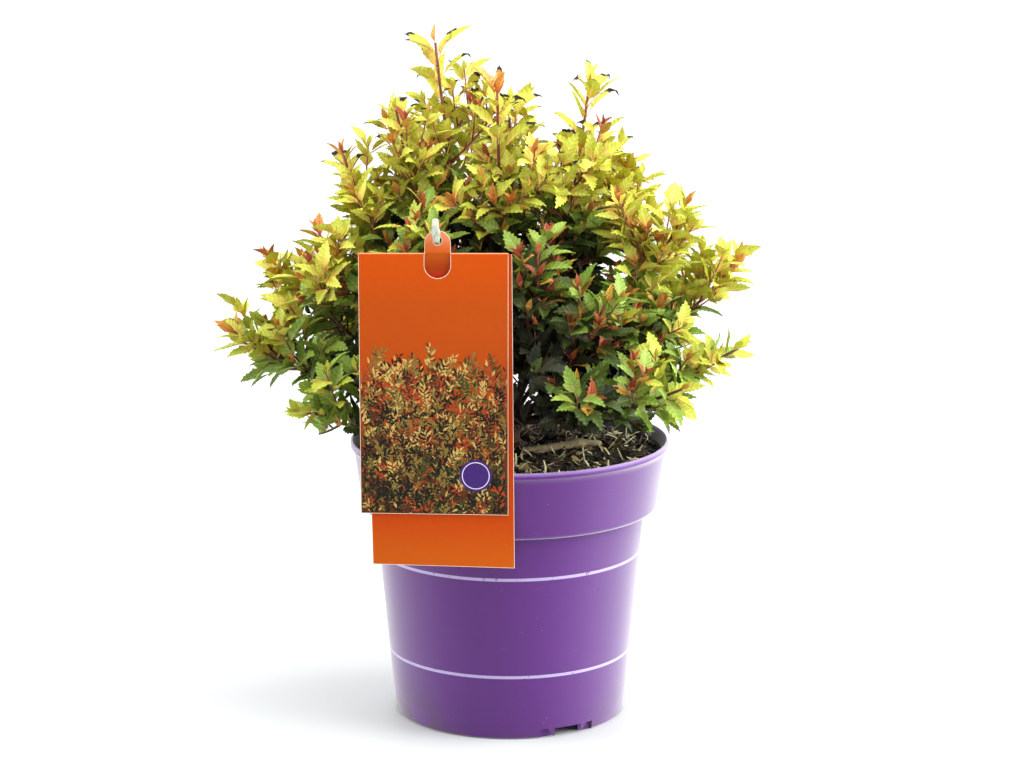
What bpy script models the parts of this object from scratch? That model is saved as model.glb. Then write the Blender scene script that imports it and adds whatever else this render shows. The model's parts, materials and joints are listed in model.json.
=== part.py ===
"""A young ninebark shrub in a nursery pot, with its potting mix and the seller's tag on its stake.

Metres, +Z up. The origin is the middle of the pot's flat underside, and the tag hangs on the side that faces -Y.
A short stem base stands on the mix. Boughs start on its knuckle, and each ends where its mass of foliage begins.
"""

import math
import random

import bmesh
import bpy
import numpy as np
from mathutils import Matrix, Vector

GAP = 0.0003
MERGE = 0.00001
FINE_MERGE = 0.0000002
TURN_STEPS = 36

# Pot, a turned shell with a straight taper and a wide rim band
POT_HEIGHT = 0.2015
WALL = 0.0018
FOOT_RADIUS = 0.0835
BODY_TOP_RADIUS = 0.0977
BAND_BOTTOM = 0.1517
BAND_BOTTOM_RADIUS = 0.1070
BAND_CORNER = 0.0035
BAND_TOP = 0.1930
BAND_TOP_RADIUS = 0.1122
LIP_RADIUS = 0.1150
LIP_ROUND = 0.0010
LIP_DEPTH = 0.0050
FLOOR_UNDERSIDE = 0.0078
FLOOR_TOP = 0.0100
FOOT_RING_WIDTH = 0.0045
BOSS_RADIUS = 0.0240

# Foot: notches in the ring, each with a lug left at either end, and drain holes in the floor
NOTCH_COUNT = 3
NOTCH_BEARING = math.radians(-60)
NOTCH_WIDTH = 0.0430
NOTCH_HEIGHT = 0.0065
NOTCH_RECESS = 0.0020
NOTCH_OPENING = 0.0220
DRAIN_COUNT = 6
DRAIN_CIRCLE = 0.0560
DRAIN_RADIUS = 0.0045

# Potting mix, mounded towards the stem
MIX_TOP = 0.1965
MIX_EDGE = 0.1900
MIX_SEAT_RADIUS = 0.0150

# Stem base: root flare, waist, and the knuckle that the boughs start from
FLARE_RADIUS = 0.0135
FLARE_HEIGHT = 0.0050
WAIST_RADIUS = 0.0078
KNUCKLE_RADIUS = 0.0105
KNUCKLE_HEIGHT = 0.0170

# Shoots. Each row: bearing of the tip from +X in degrees, its distance from the axis, its height
SHOOTS = (
    (169, 0.055, 0.500),
    (-101, 0.046, 0.472),
    (-15, 0.060, 0.474),
    (-160, 0.087, 0.457),
    (-172, 0.123, 0.424),
    (-161, 0.148, 0.372),
    (177, 0.181, 0.343),
    (-172, 0.211, 0.294),
    (-154, 0.178, 0.240),
    (-128, 0.108, 0.385),
    (-80, 0.118, 0.368),
    (-56, 0.125, 0.330),
    (-66, 0.152, 0.262),
    (-36, 0.160, 0.262),
    (-12, 0.133, 0.388),
    (5, 0.170, 0.337),
    (-9, 0.176, 0.280),
    (34, 0.170, 0.300),
    (42, 0.112, 0.418),
    (90, 0.082, 0.448),
    (74, 0.162, 0.325),
    (134, 0.118, 0.405),
    (112, 0.168, 0.315),
    (148, 0.176, 0.275),
)
SHOOT_OUTWARD = 0.66
SHOOT_UPWARD = 0.34
BOUGH_LENGTH = 0.040
BOUGH_FOOT_RADIUS = 0.0018
BOUGH_TIP_RADIUS = 0.0015
SQUARE_RUN = 0.0100
FOOT_SPREAD = math.radians(23.5)
SPREAD_ROUNDS = 300
LOWEST_HEADING = 0.04
BOUGH_POINTS = 6

# Growth rule of a mass: nodes up the stem, every third a side twig, a leaf at each of the others
SEED = 29
GOLDEN_ANGLE = math.radians(137.508)
NODE_SPACING = 0.0044
FIRST_NODE = 0.0050
TWIG_EVERY = 3
TWIGS_END = 0.72
LEAST_FACES = 6
STEM_POINTS = 4
STEM_RADIUS = 0.0018
STEM_TIP_RADIUS = 0.0011
TWIG_POINTS = 2
TWIG_LENGTH = 0.050
TWIG_TAPER = 0.45
TWIG_RISE = 0.25
TWIG_RADIUS = 0.0012
TWIG_TIP_RADIUS = 0.0007
TWIG_LEAF_SPACING = 0.0070
TUFT = 0.024
TUFT_STEP = 0.0025
TUFT_SIZE = 0.70
LEAF_LENGTH = 0.045
LEAF_WIDTH = 0.60
LEAF_THICKNESS = 0.030
LEAF_WIDEST = 0.45
LEAF_THICKEST = 0.20
LEAF_DROOP = 0.10
ANGLE_LOW = 66
ANGLE_HIGH = 38
ANGLE_TUFT = 20

# Room that foliage leaves round what is not its own
SPACE_MARGIN = 0.0016
LEAF_ROOM = 0.0040
BOUGH_CLEARANCE = 0.0065
STAKE_CLEARANCE = 0.0080
TAG_CLEARANCE = 0.0040
FOLIAGE_FLOOR = 0.2045
KNUCKLE_CLEARANCE = 0.0190

# Tag: one card folded over at the top, the front half shorter, a tab standing up from the fold
TAG_TURN = math.radians(-3)
CARD = 0.0005
CARD_SPACING = 0.0012
FOLD_HEIGHT = 0.3560
FOLD_RADIUS = 0.0013
FOLD_INSET = 0.0004
FRONT_CENTRE = -0.0456
FRONT_WIDTH = 0.1020
FRONT_BOTTOM = 0.1730
BACK_CENTRE = -0.0417
BACK_WIDTH = 0.0990
BACK_BOTTOM = 0.1350
BACK_SKEW = math.radians(0.5)
TAB_CENTRE = -0.0428
TAB_WIDTH = 0.0178
TAB_TOP = 0.3712
OPENING_BOTTOM = 0.3385
HOOK_HOLE_HEIGHT = 0.3640
HOOK_HOLE_RADIUS = 0.0030

# Stake, a flat moulded strap bent over the tab into its hole
STAKE_WIDTH = 0.0044
STAKE_THICKNESS = 0.0020
STAKE_FOOT_Y = -0.0870
STAKE_TOP = 0.3795
STAKE_BACK_Y = -0.1140
STAKE_BEND = 0.0036

COLOURS = {
    "pot_plastic": ((0.19, 0.075, 0.31), 0.42),
    "potting_mix": ((0.045, 0.032, 0.022), 0.95),
    "bark": ((0.13, 0.055, 0.035), 0.80),
    "foliage": ((0.27, 0.34, 0.05), 0.60),
    "tag_card": ((0.75, 0.15, 0.02), 0.45),
    "stake_plastic": ((0.75, 0.76, 0.68), 0.35),
}


def clear_scene():
    for ob in list(bpy.data.objects):
        bpy.data.objects.remove(ob)


def new_collection(name):
    collection = bpy.data.collections.new(name)
    bpy.context.scene.collection.children.link(collection)
    return collection


def new_material(name):
    colour, roughness = COLOURS[name]
    material = bpy.data.materials.new(name)
    material.use_nodes = True
    shader = material.node_tree.nodes["Principled BSDF"]
    shader.inputs["Base Color"].default_value = (*colour, 1.0)
    shader.inputs["Roughness"].default_value = roughness
    shader.inputs["Metallic"].default_value = 0.0
    return material


def add_object(name, data, collection, material=None):
    ob = bpy.data.objects.new(name, data)
    collection.objects.link(ob)
    if material:
        data.materials.append(material)
    return ob


def add_cutter(name, mesh, collection, matrix):
    cutter = add_object(name, mesh, collection)
    cutter.matrix_world = matrix
    cutter.hide_render = True
    cutter.display_type = "WIRE"
    return cutter


def box_mesh(size):
    mesh = bpy.data.meshes.new("box")
    shape = bmesh.new()
    bmesh.ops.create_cube(shape, size=1.0, matrix=Matrix.Diagonal((*size, 1.0)))
    shape.to_mesh(mesh)
    shape.free()
    return mesh


def cylinder_mesh(radius, depth, segments):
    mesh = bpy.data.meshes.new("cylinder")
    shape = bmesh.new()
    bmesh.ops.create_cone(
        shape, cap_ends=True, segments=segments, radius1=radius, radius2=radius, depth=depth
    )
    shape.to_mesh(mesh)
    shape.free()
    return mesh


def turned_object(name, profile, collection, material, steps=TURN_STEPS):
    """A profile of (radius, height) points turned about the Z axis."""
    mesh = bpy.data.meshes.new(name)
    vertices = [(radius, 0.0, height) for radius, height in profile]
    edges = [(i, i + 1) for i in range(len(profile) - 1)]
    mesh.from_pydata(vertices, edges, [])
    ob = add_object(name, mesh, collection, material)
    screw = ob.modifiers.new("turn", "SCREW")
    screw.axis = "Z"
    screw.steps = steps
    screw.render_steps = steps
    screw.use_merge_vertices = True
    screw.merge_threshold = MERGE
    screw.use_smooth_shade = True
    return ob


def evaluated_mesh(ob, weld=MERGE):
    """The object's shape after its modifiers, welded, in its own frame."""
    graph = bpy.context.evaluated_depsgraph_get()
    mesh = bpy.data.meshes.new_from_object(ob.evaluated_get(graph))
    shape = bmesh.new()
    shape.from_mesh(mesh)
    bmesh.ops.remove_doubles(shape, verts=shape.verts, dist=weld)
    shape.to_mesh(mesh)
    shape.free()
    return mesh


def curve_to_mesh(curve, collection):
    """Replaces a curve object by the mesh object of its shape."""
    mesh = evaluated_mesh(curve)
    matrix = curve.matrix_world.copy()
    name = curve.name
    bpy.data.objects.remove(curve)
    ob = add_object(name, mesh, collection)
    ob.matrix_world = matrix
    return ob


def pot_outer_radius(height):
    """Radius of the pot's tapering body, below the rim band."""
    return FOOT_RADIUS + (BODY_TOP_RADIUS - FOOT_RADIUS) * height / BAND_BOTTOM


def pot_profile():
    corner = [
        (
            BAND_BOTTOM_RADIUS - BAND_CORNER * (1 - math.cos(angle)),
            BAND_BOTTOM + BAND_CORNER * (1 - math.sin(angle)),
        )
        for angle in (0.0, math.pi / 6, math.pi / 3, math.pi / 2)
    ]
    return [
        (0.0, FLOOR_TOP),
        (pot_outer_radius(FLOOR_TOP) - WALL, FLOOR_TOP),
        (BODY_TOP_RADIUS - WALL, BAND_BOTTOM + WALL),
        (BAND_BOTTOM_RADIUS - WALL, BAND_BOTTOM + WALL),
        (BAND_TOP_RADIUS - WALL, BAND_TOP),
        (LIP_RADIUS - WALL - LIP_ROUND, POT_HEIGHT - LIP_ROUND),
        (LIP_RADIUS - WALL, POT_HEIGHT),
        (LIP_RADIUS - LIP_ROUND, POT_HEIGHT),
        (LIP_RADIUS, POT_HEIGHT - LIP_ROUND),
        (LIP_RADIUS, POT_HEIGHT - LIP_DEPTH),
        (BAND_TOP_RADIUS, BAND_TOP),
        *corner,
        (BODY_TOP_RADIUS, BAND_BOTTOM),
        (FOOT_RADIUS, 0.0),
        (FOOT_RADIUS - FOOT_RING_WIDTH, 0.0),
        (FOOT_RADIUS - FOOT_RING_WIDTH, FLOOR_UNDERSIDE),
        (BOSS_RADIUS, FLOOR_UNDERSIDE),
        (BOSS_RADIUS, 0.0),
        (0.0, 0.0),
    ]


def around(bearing, radius, height):
    """A placement at a bearing round the Z axis, its X axis pointing outward."""
    return Matrix.Rotation(bearing, 4, "Z") @ Matrix.Translation((radius, 0.0, height))


def make_pot(parts, cutters, material):
    pot = turned_object("pot", pot_profile(), parts, material)
    recess = box_mesh((2 * NOTCH_RECESS, NOTCH_WIDTH, 2 * NOTCH_HEIGHT))
    opening = box_mesh((4 * FOOT_RING_WIDTH, NOTCH_OPENING, 2 * NOTCH_HEIGHT))
    drain = cylinder_mesh(DRAIN_RADIUS, 4 * FLOOR_TOP, 12)
    for i in range(NOTCH_COUNT):
        bearing = NOTCH_BEARING + i * math.tau / NOTCH_COUNT
        sagitta = FOOT_RADIUS - math.sqrt(FOOT_RADIUS**2 - (NOTCH_WIDTH / 2) ** 2)
        for label, mesh, depth in (("recess", recess, sagitta), ("opening", opening, 0.0)):
            place = around(bearing, FOOT_RADIUS - depth, 0.0)
            add_cutter(f"notch_{label}_{i + 1}", mesh, cutters, place)
    for i in range(DRAIN_COUNT):
        bearing = (i + 0.5) * math.tau / DRAIN_COUNT
        add_cutter(f"drain_{i + 1}", drain, cutters, around(bearing, DRAIN_CIRCLE, 0.0))
    cut = pot.modifiers.new("foot_openings", "BOOLEAN")
    cut.operation = "DIFFERENCE"
    cut.operand_type = "COLLECTION"
    cut.collection = cutters
    cut.solver = "EXACT"
    return pot


def mix_height(radius):
    """Height of the potting mix: flat under the stem, falling to the pot's wall."""
    reach = BAND_TOP_RADIUS - WALL - GAP
    share = min(max((radius - MIX_SEAT_RADIUS) / (reach - MIX_SEAT_RADIUS), 0.0), 1.0)
    return MIX_EDGE + (MIX_TOP - MIX_EDGE) * 0.5 * (1 + math.cos(math.pi * share))


def mix_profile():
    clear = WALL + GAP
    rise = (MIX_EDGE - BAND_BOTTOM) / (BAND_TOP - BAND_BOTTOM)
    edge_radius = BAND_BOTTOM_RADIUS + (BAND_TOP_RADIUS - BAND_BOTTOM_RADIUS) * rise - clear
    mound = [
        (radius, mix_height(radius))
        for radius in (MIX_SEAT_RADIUS + (edge_radius - MIX_SEAT_RADIUS) * i / 4 for i in range(4))
    ]
    shelf = BAND_BOTTOM + clear
    return [
        (0.0, MIX_TOP),
        *mound,
        (edge_radius, MIX_EDGE),
        (BAND_BOTTOM_RADIUS - clear, shelf),
        (BODY_TOP_RADIUS - clear, shelf),
        (pot_outer_radius(FLOOR_TOP) - clear, FLOOR_TOP + GAP),
        (0.0, FLOOR_TOP + GAP),
    ]


STEM_FOOT = MIX_TOP + GAP
KNUCKLE = Vector((0.0, 0.0, STEM_FOOT + KNUCKLE_HEIGHT))


def stem_base_profile():
    knuckle = [
        (KNUCKLE_RADIUS * math.cos(angle), KNUCKLE.z + KNUCKLE_RADIUS * math.sin(angle))
        for angle in (math.radians(90 - 20 * i) for i in range(7))
    ]
    return [
        (0.0, KNUCKLE.z + KNUCKLE_RADIUS),
        *knuckle[1:],
        (WAIST_RADIUS, STEM_FOOT + FLARE_HEIGHT),
        (FLARE_RADIUS, STEM_FOOT),
        (0.0, STEM_FOOT),
    ]


class Path:
    """A smooth centre line, drawn by its guide points: it starts at the first and ends at the last."""

    STEPS = 24

    def __init__(self, *guides):
        self.guides = guides
        stations = self.points(0.0, 1.0, self.STEPS + 1)
        self.travelled = [0.0]
        for before, after in zip(stations, stations[1:]):
            self.travelled.append(self.travelled[-1] + (after - before).length)
        self.length = self.travelled[-1]

    def run(self, t):
        """The last two points that the guides come down to at t, on either side of the line there."""
        points = self.guides
        while len(points) > 2:
            points = [a.lerp(b, t) for a, b in zip(points, points[1:])]
        return points

    def point(self, t):
        before, after = self.run(t)
        return before.lerp(after, t)

    def direction(self, t):
        before, after = self.run(t)
        return (after - before).normalized()

    def at(self, distance):
        """The t of the point that lies this far along the line."""
        return float(np.interp(distance, self.travelled, np.linspace(0.0, 1.0, self.STEPS + 1)))

    def points(self, first, last, count):
        return [self.point(first + (last - first) * i / (count - 1)) for i in range(count)]


def spread_apart(headings):
    """Turns headings away from their neighbours until none is nearer to another than the boughs' feet allow."""
    headings = list(headings)
    for _ in range(SPREAD_ROUNDS):
        for i, first in enumerate(headings):
            for j in range(i):
                first, second = headings[i], headings[j]
                short = FOOT_SPREAD - first.angle(second)
                if short > 0:
                    turn = Matrix.Rotation(short / 2, 3, first.cross(second).normalized())
                    headings[i] = turn.inverted() @ first
                    headings[j] = turn @ second
        for heading in headings:
            heading.z = max(heading.z, LOWEST_HEADING)
            heading.normalize()
    return headings


def shoot_paths():
    """Each shoot leaves the knuckle squarely, swings outward, and bends up to its tip."""
    bends = []
    tips = []
    for bearing, reach, height in SHOOTS:
        turn = math.radians(bearing)
        outward = Vector((math.cos(turn), math.sin(turn), 0.0))
        bends.append(outward * reach * SHOOT_OUTWARD)
        bends[-1].z = KNUCKLE.z + (height - KNUCKLE.z) * SHOOT_UPWARD
        tips.append(outward * reach)
        tips[-1].z = height
    headings = spread_apart((bend - KNUCKLE).normalized() for bend in bends)
    paths = []
    for heading, bend, tip in zip(headings, bends, tips):
        start = KNUCKLE + heading * (KNUCKLE_RADIUS + GAP)
        paths.append(Path(start, start + heading * SQUARE_RUN, bend, tip))
    return paths


def distance_to_line(points, line):
    """The least distance from each of the points to a line of straight runs."""
    starts = line[:-1]
    runs = line[1:] - starts
    offsets = points[:, None, :] - starts[None, :, :]
    share = np.clip((offsets * runs).sum(2) / (runs * runs).sum(1), 0.0, 1.0)
    return np.linalg.norm(offsets - share[:, :, None] * runs, axis=2).min(1)


class Room:
    """Says whether a twig or leaf stays in its own mass's space, clear of limbs, tag, stake and mix."""

    def __init__(self, boughs, stems, stake):
        self.boughs = [np.array(line) for line in boughs]
        self.stems = [np.array(line) for line in stems]
        self.stake = np.array(stake)
        self.taken = np.empty((0, 3))

    def take(self, points):
        self.taken = np.vstack([self.taken, np.array(points)])

    def free(self, points):
        """Whether a blade stays a little apart from every blade there is."""
        if not len(self.taken):
            return True
        apart = np.array(points)[:, None, :] - self.taken[None, :, :]
        return bool(np.linalg.norm(apart, axis=2).min() > LEAF_ROOM)

    def holds(self, points, own):
        points = np.array(points)
        if points[:, 2].min() < FOLIAGE_FLOOR:
            return False
        if np.linalg.norm(points - np.array(KNUCKLE), axis=1).min() < KNUCKLE_CLEARANCE:
            return False
        if distance_to_line(points, self.stake).min() < STAKE_CLEARANCE:
            return False
        if self.meets_tag(points):
            return False
        if min(distance_to_line(points, line).min() for line in self.boughs) < BOUGH_CLEARANCE:
            return False
        near = np.array([distance_to_line(points, line) for line in self.stems])
        others = np.delete(near, own, axis=0).min(axis=0)
        return bool((others - near[own] > SPACE_MARGIN).all())

    def meets_tag(self, points):
        """Whether any point is in the tag, or stands before it."""
        across = points[:, 0] * math.cos(TAG_TURN) + points[:, 1] * math.sin(TAG_TURN)
        towards = points[:, 0] * math.sin(TAG_TURN) - points[:, 1] * math.cos(TAG_TURN)
        left = FRONT_CENTRE - FRONT_WIDTH / 2 - TAG_CLEARANCE
        right = BACK_CENTRE + BACK_WIDTH / 2 + TAG_CLEARANCE
        beside_card = (across > left) & (across < right)
        card = beside_card & (points[:, 2] < FOLD_HEIGHT + TAG_CLEARANCE)
        beside_tab = abs(across - TAB_CENTRE) < TAB_WIDTH / 2 + TAG_CLEARANCE
        tab = beside_tab & (points[:, 2] < STAKE_TOP + TAG_CLEARANCE)
        before = towards > LIP_RADIUS + GAP - TAG_CLEARANCE
        return bool((before & (card | tab)).any())


def side_axes(direction):
    """Two unit vectors square to a direction."""
    first = direction.cross(Vector((0.0, 0.0, 1.0)))
    if first.length < 0.1:
        first = direction.cross(Vector((0.0, 1.0, 0.0)))
    first.normalize()
    return first, direction.cross(first)


def leaf_placement(root, along, turn, angle, length):
    """A leaf's frame: X down the blade, Z out of its upper face, at an angle off the twig's line."""
    first, second = side_axes(along)
    outward = first * math.cos(turn) + second * math.sin(turn)
    blade = along * math.cos(angle) + outward * math.sin(angle)
    side = along.cross(outward)
    upper = blade.cross(side)
    turned = Matrix((blade, side, upper)).transposed().to_4x4()
    return Matrix.Translation(root) @ turned @ Matrix.Scale(length, 4)


def leaf_samples(placement):
    """Points over a blade, near enough together that no limb passes between them."""
    half = LEAF_WIDTH / 2
    samples = []
    for along in (0.28, 0.5, 0.75, 1.0):
        if along < LEAF_WIDEST:
            width = half * along / LEAF_WIDEST
        else:
            width = half * (1 - along) / (1 - LEAF_WIDEST)
        for side in (-1, 0, 1):
            samples.append(placement @ Vector((along, side * width, -LEAF_DROOP * along**2)))
    return samples


def leaf_mesh():
    """One blade, an octahedron drawn out to a root, a tip, two sides and a rib above and below."""
    mesh = bpy.data.meshes.new("leaf")
    shape = bmesh.new()
    bmesh.ops.create_uvsphere(shape, u_segments=4, v_segments=2, radius=1.0)
    for vertex in shape.verts:
        x, y, z = vertex.co
        if z < -0.5:
            place = (0.0, 0.0, 0.0)
        elif z > 0.5:
            place = (1.0, 0.0, -LEAF_DROOP)
        elif abs(x) > 0.5:
            place = (LEAF_WIDEST, x * LEAF_WIDTH / 2, -LEAF_DROOP * LEAF_WIDEST**2)
        else:
            place = (LEAF_THICKEST, 0.0, y * LEAF_THICKNESS / 2)
        vertex.co = place
    bmesh.ops.recalc_face_normals(shape, faces=shape.faces)
    shape.to_mesh(mesh)
    shape.free()
    return mesh


def triangle_section(guides):
    """The outline that twigs are drawn along their lines with."""
    outline = bpy.data.curves.new("twig_section", "CURVE")
    outline.dimensions = "2D"
    spline = outline.splines.new("POLY")
    spline.points.add(2)
    for i, point in enumerate(spline.points):
        angle = -i * math.tau / 3
        point.co = (math.cos(angle), math.sin(angle), 0.0, 1.0)
    spline.use_cyclic_u = True
    section = add_object("twig_section", outline, guides)
    section.hide_render = True
    section.display_type = "WIRE"
    return section


def limb_curve(name, points, radii, collection, section=None):
    """A tapering limb along its centre line, round, or of a given section."""
    curve = bpy.data.curves.new(name, "CURVE")
    curve.dimensions = "3D"
    curve.use_fill_caps = True
    if section:
        curve.bevel_mode = "OBJECT"
        curve.bevel_object = section
    else:
        curve.bevel_depth = 1.0
        curve.bevel_resolution = 1
    spline = curve.splines.new("POLY")
    spline.points.add(len(points) - 1)
    for point, place, radius in zip(spline.points, points, radii):
        point.co = (*place, 1.0)
        point.radius = radius
    return add_object(name, curve, collection)


def taper(first, last, count):
    return [first + (last - first) * i / (count - 1) for i in range(count)]


class Mass:
    """Grows one mass of foliage up a stem: side twigs and leaves, as far as their room allows."""

    def __init__(self, number, path, room, blade, section, parts):
        self.number = number
        self.path = path
        self.start = BOUGH_LENGTH + GAP
        self.end = path.length - TUFT
        self.room = room
        self.blade = blade
        self.section = section
        self.rng = random.Random(SEED + number)
        self.growth = new_collection(f"growth_{number + 1:02d}")
        points = path.points(path.at(self.start), path.at(self.end), STEM_POINTS)
        radii = taper(STEM_RADIUS, STEM_TIP_RADIUS, STEM_POINTS)
        name = f"foliage_{number + 1:02d}"
        self.stem = curve_to_mesh(limb_curve(name, points, radii, parts, section), parts)
        self.leaves = 0

    def grow(self):
        turn = self.rng.uniform(0, math.tau)
        distance = self.start + FIRST_NODE
        node = 0
        while distance < self.end:
            height = (distance - self.start) / (self.end - self.start)
            t = self.path.at(distance)
            turn += GOLDEN_ANGLE
            if node % TWIG_EVERY == 1 and height < TWIGS_END:
                self.side_twig(t, turn, height)
            else:
                angle = math.radians(ANGLE_LOW + (ANGLE_HIGH - ANGLE_LOW) * height)
                self.leaf(self.path.point(t), self.path.direction(t), turn, angle, 1 - 0.2 * height)
            distance += NODE_SPACING
            node += 1
        end = self.path.at(self.end)
        self.tuft(self.path.point(end), self.path.direction(end), turn)
        self.join()

    def leaf(self, root, along, turn, angle, size):
        length = LEAF_LENGTH * size * self.rng.uniform(0.88, 1.08)
        placement = leaf_placement(root, along, turn, angle, length)
        samples = leaf_samples(placement)
        if self.room.holds(samples, self.number) and self.room.free(samples):
            self.room.take(samples)
            leaf = add_object("leaf", self.blade, self.growth)
            leaf.matrix_world = placement
            self.leaves += 1

    def tuft(self, root, along, turn):
        """The last leaves at a tip, nearly in line with it."""
        for i in range(3):
            turn += GOLDEN_ANGLE
            place = root - along * (TUFT_STEP * i)
            self.leaf(place, along, turn, math.radians(ANGLE_TUFT + 9 * i), TUFT_SIZE)

    def side_twig(self, t, turn, height):
        along = self.path.direction(t)
        first, second = side_axes(along)
        outward = first * math.cos(turn) + second * math.sin(turn)
        angle = math.radians(ANGLE_LOW - 10 * height)
        heading = along * math.cos(angle) + outward * math.sin(angle)
        length = TWIG_LENGTH * (1 - TWIG_TAPER * height) * self.rng.uniform(0.85, 1.15)
        root = self.path.point(t)
        tip = root + heading * length
        tip.z += TWIG_RISE * length
        twig = Path(root, root + heading * (length / 2), tip)
        if not self.room.holds(twig.points(0.4, 1.0, 4), self.number):
            self.leaf(root, along, turn, math.radians(ANGLE_LOW), 1.0)
            return
        curve = limb_curve(
            "twig",
            twig.points(0.0, 1.0, TWIG_POINTS),
            taper(TWIG_RADIUS, TWIG_TIP_RADIUS, TWIG_POINTS),
            self.growth,
            self.section,
        )
        curve_to_mesh(curve, self.growth)
        count = round(length / TWIG_LEAF_SPACING)
        for i in range(1, count):
            turn += GOLDEN_ANGLE
            place = i / count
            self.leaf(twig.point(place), twig.direction(place), turn, math.radians(ANGLE_LOW - 12 * place), 0.9)
        self.tuft(twig.point(0.97), twig.direction(1.0), turn)

    def join(self):
        """Fuses twigs and leaves to the stem, fills what fusing sealed, and drops loose scraps."""
        for solver in ("EXACT", "MANIFOLD"):
            joined = united(self.stem, self.growth, solver)
            keep_largest_body(joined)
            if is_closed(joined) and len(joined.polygons) > LEAST_FACES * self.leaves:
                break
        self.stem.data = joined
        remove_collection(self.growth)


def united(ob, collection, solver="EXACT"):
    """The mesh of an object joined with all that a collection holds."""
    union = ob.modifiers.new("join", "BOOLEAN")
    union.operation = "UNION"
    union.operand_type = "COLLECTION"
    union.collection = collection
    union.solver = solver
    mesh = evaluated_mesh(ob, FINE_MERGE)
    ob.modifiers.remove(union)
    return mesh


def remove_collection(collection):
    for ob in list(collection.objects):
        bpy.data.objects.remove(ob)
    bpy.data.collections.remove(collection)


def is_closed(mesh):
    shape = bmesh.new()
    shape.from_mesh(mesh)
    closed = all(edge.is_manifold for edge in shape.edges)
    shape.free()
    return closed


def keep_largest_body(mesh):
    """Drops every body but the one with the most faces, also those that only touch it at a corner."""
    shape = bmesh.new()
    shape.from_mesh(mesh)
    left = set(shape.faces)
    bodies = []
    while left:
        front = [left.pop()]
        body = []
        while front:
            face = front.pop()
            body.append(face)
            for edge in face.edges:
                for other in edge.link_faces:
                    if other in left:
                        left.remove(other)
                        front.append(other)
        bodies.append(body)
    largest = max(bodies, key=len)
    scraps = [face for body in bodies if body is not largest for face in body]
    bmesh.ops.delete(shape, geom=scraps, context="FACES")
    shape.to_mesh(mesh)
    shape.free()


def make_shrub(parts, guides, bark, foliage):
    paths = shoot_paths()
    boughs = [path.points(0.0, path.at(BOUGH_LENGTH), BOUGH_POINTS) for path in paths]
    stems = [path.points(path.at(BOUGH_LENGTH), 1.0, 9) for path in paths]
    room = Room(boughs, stems, stake_line())
    blade = leaf_mesh()
    section = triangle_section(guides)
    radii = taper(BOUGH_FOOT_RADIUS, BOUGH_TIP_RADIUS, BOUGH_POINTS)
    leaves = 0
    for i, path in enumerate(paths):
        bough = limb_curve(f"bough_{i + 1:02d}", boughs[i], radii, parts)
        bough.data.materials.append(bark)
        mass = Mass(i, path, room, blade, section, parts)
        mass.grow()
        mass.stem.data.materials.clear()
        mass.stem.data.materials.append(foliage)
        leaves += mass.leaves
    print(f"{len(SHOOTS)} masses of foliage with {leaves} leaves")


def flat_curve(name, outlines, thickness, collection):
    """A flat sheet of closed outlines in the XZ plane, its thickness along Y."""
    curve = bpy.data.curves.new(name, "CURVE")
    curve.dimensions = "2D"
    curve.fill_mode = "BOTH"
    curve.extrude = thickness / 2
    for outline in outlines:
        spline = curve.splines.new("POLY")
        spline.points.add(len(outline) - 1)
        for point, (across, up) in zip(spline.points, outline):
            point.co = (across, up, 0.0, 1.0)
        spline.use_cyclic_u = True
    ob = add_object(name, curve, collection)
    ob.rotation_euler = (math.pi / 2, 0.0, 0.0)
    return ob


def arc(centre, radius, first, last, count):
    """Points on an arc, angles in degrees from the first axis."""
    angles = [math.radians(first + (last - first) * i / (count - 1)) for i in range(count)]
    return [(centre[0] + radius * math.cos(a), centre[1] + radius * math.sin(a)) for a in angles]


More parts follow.
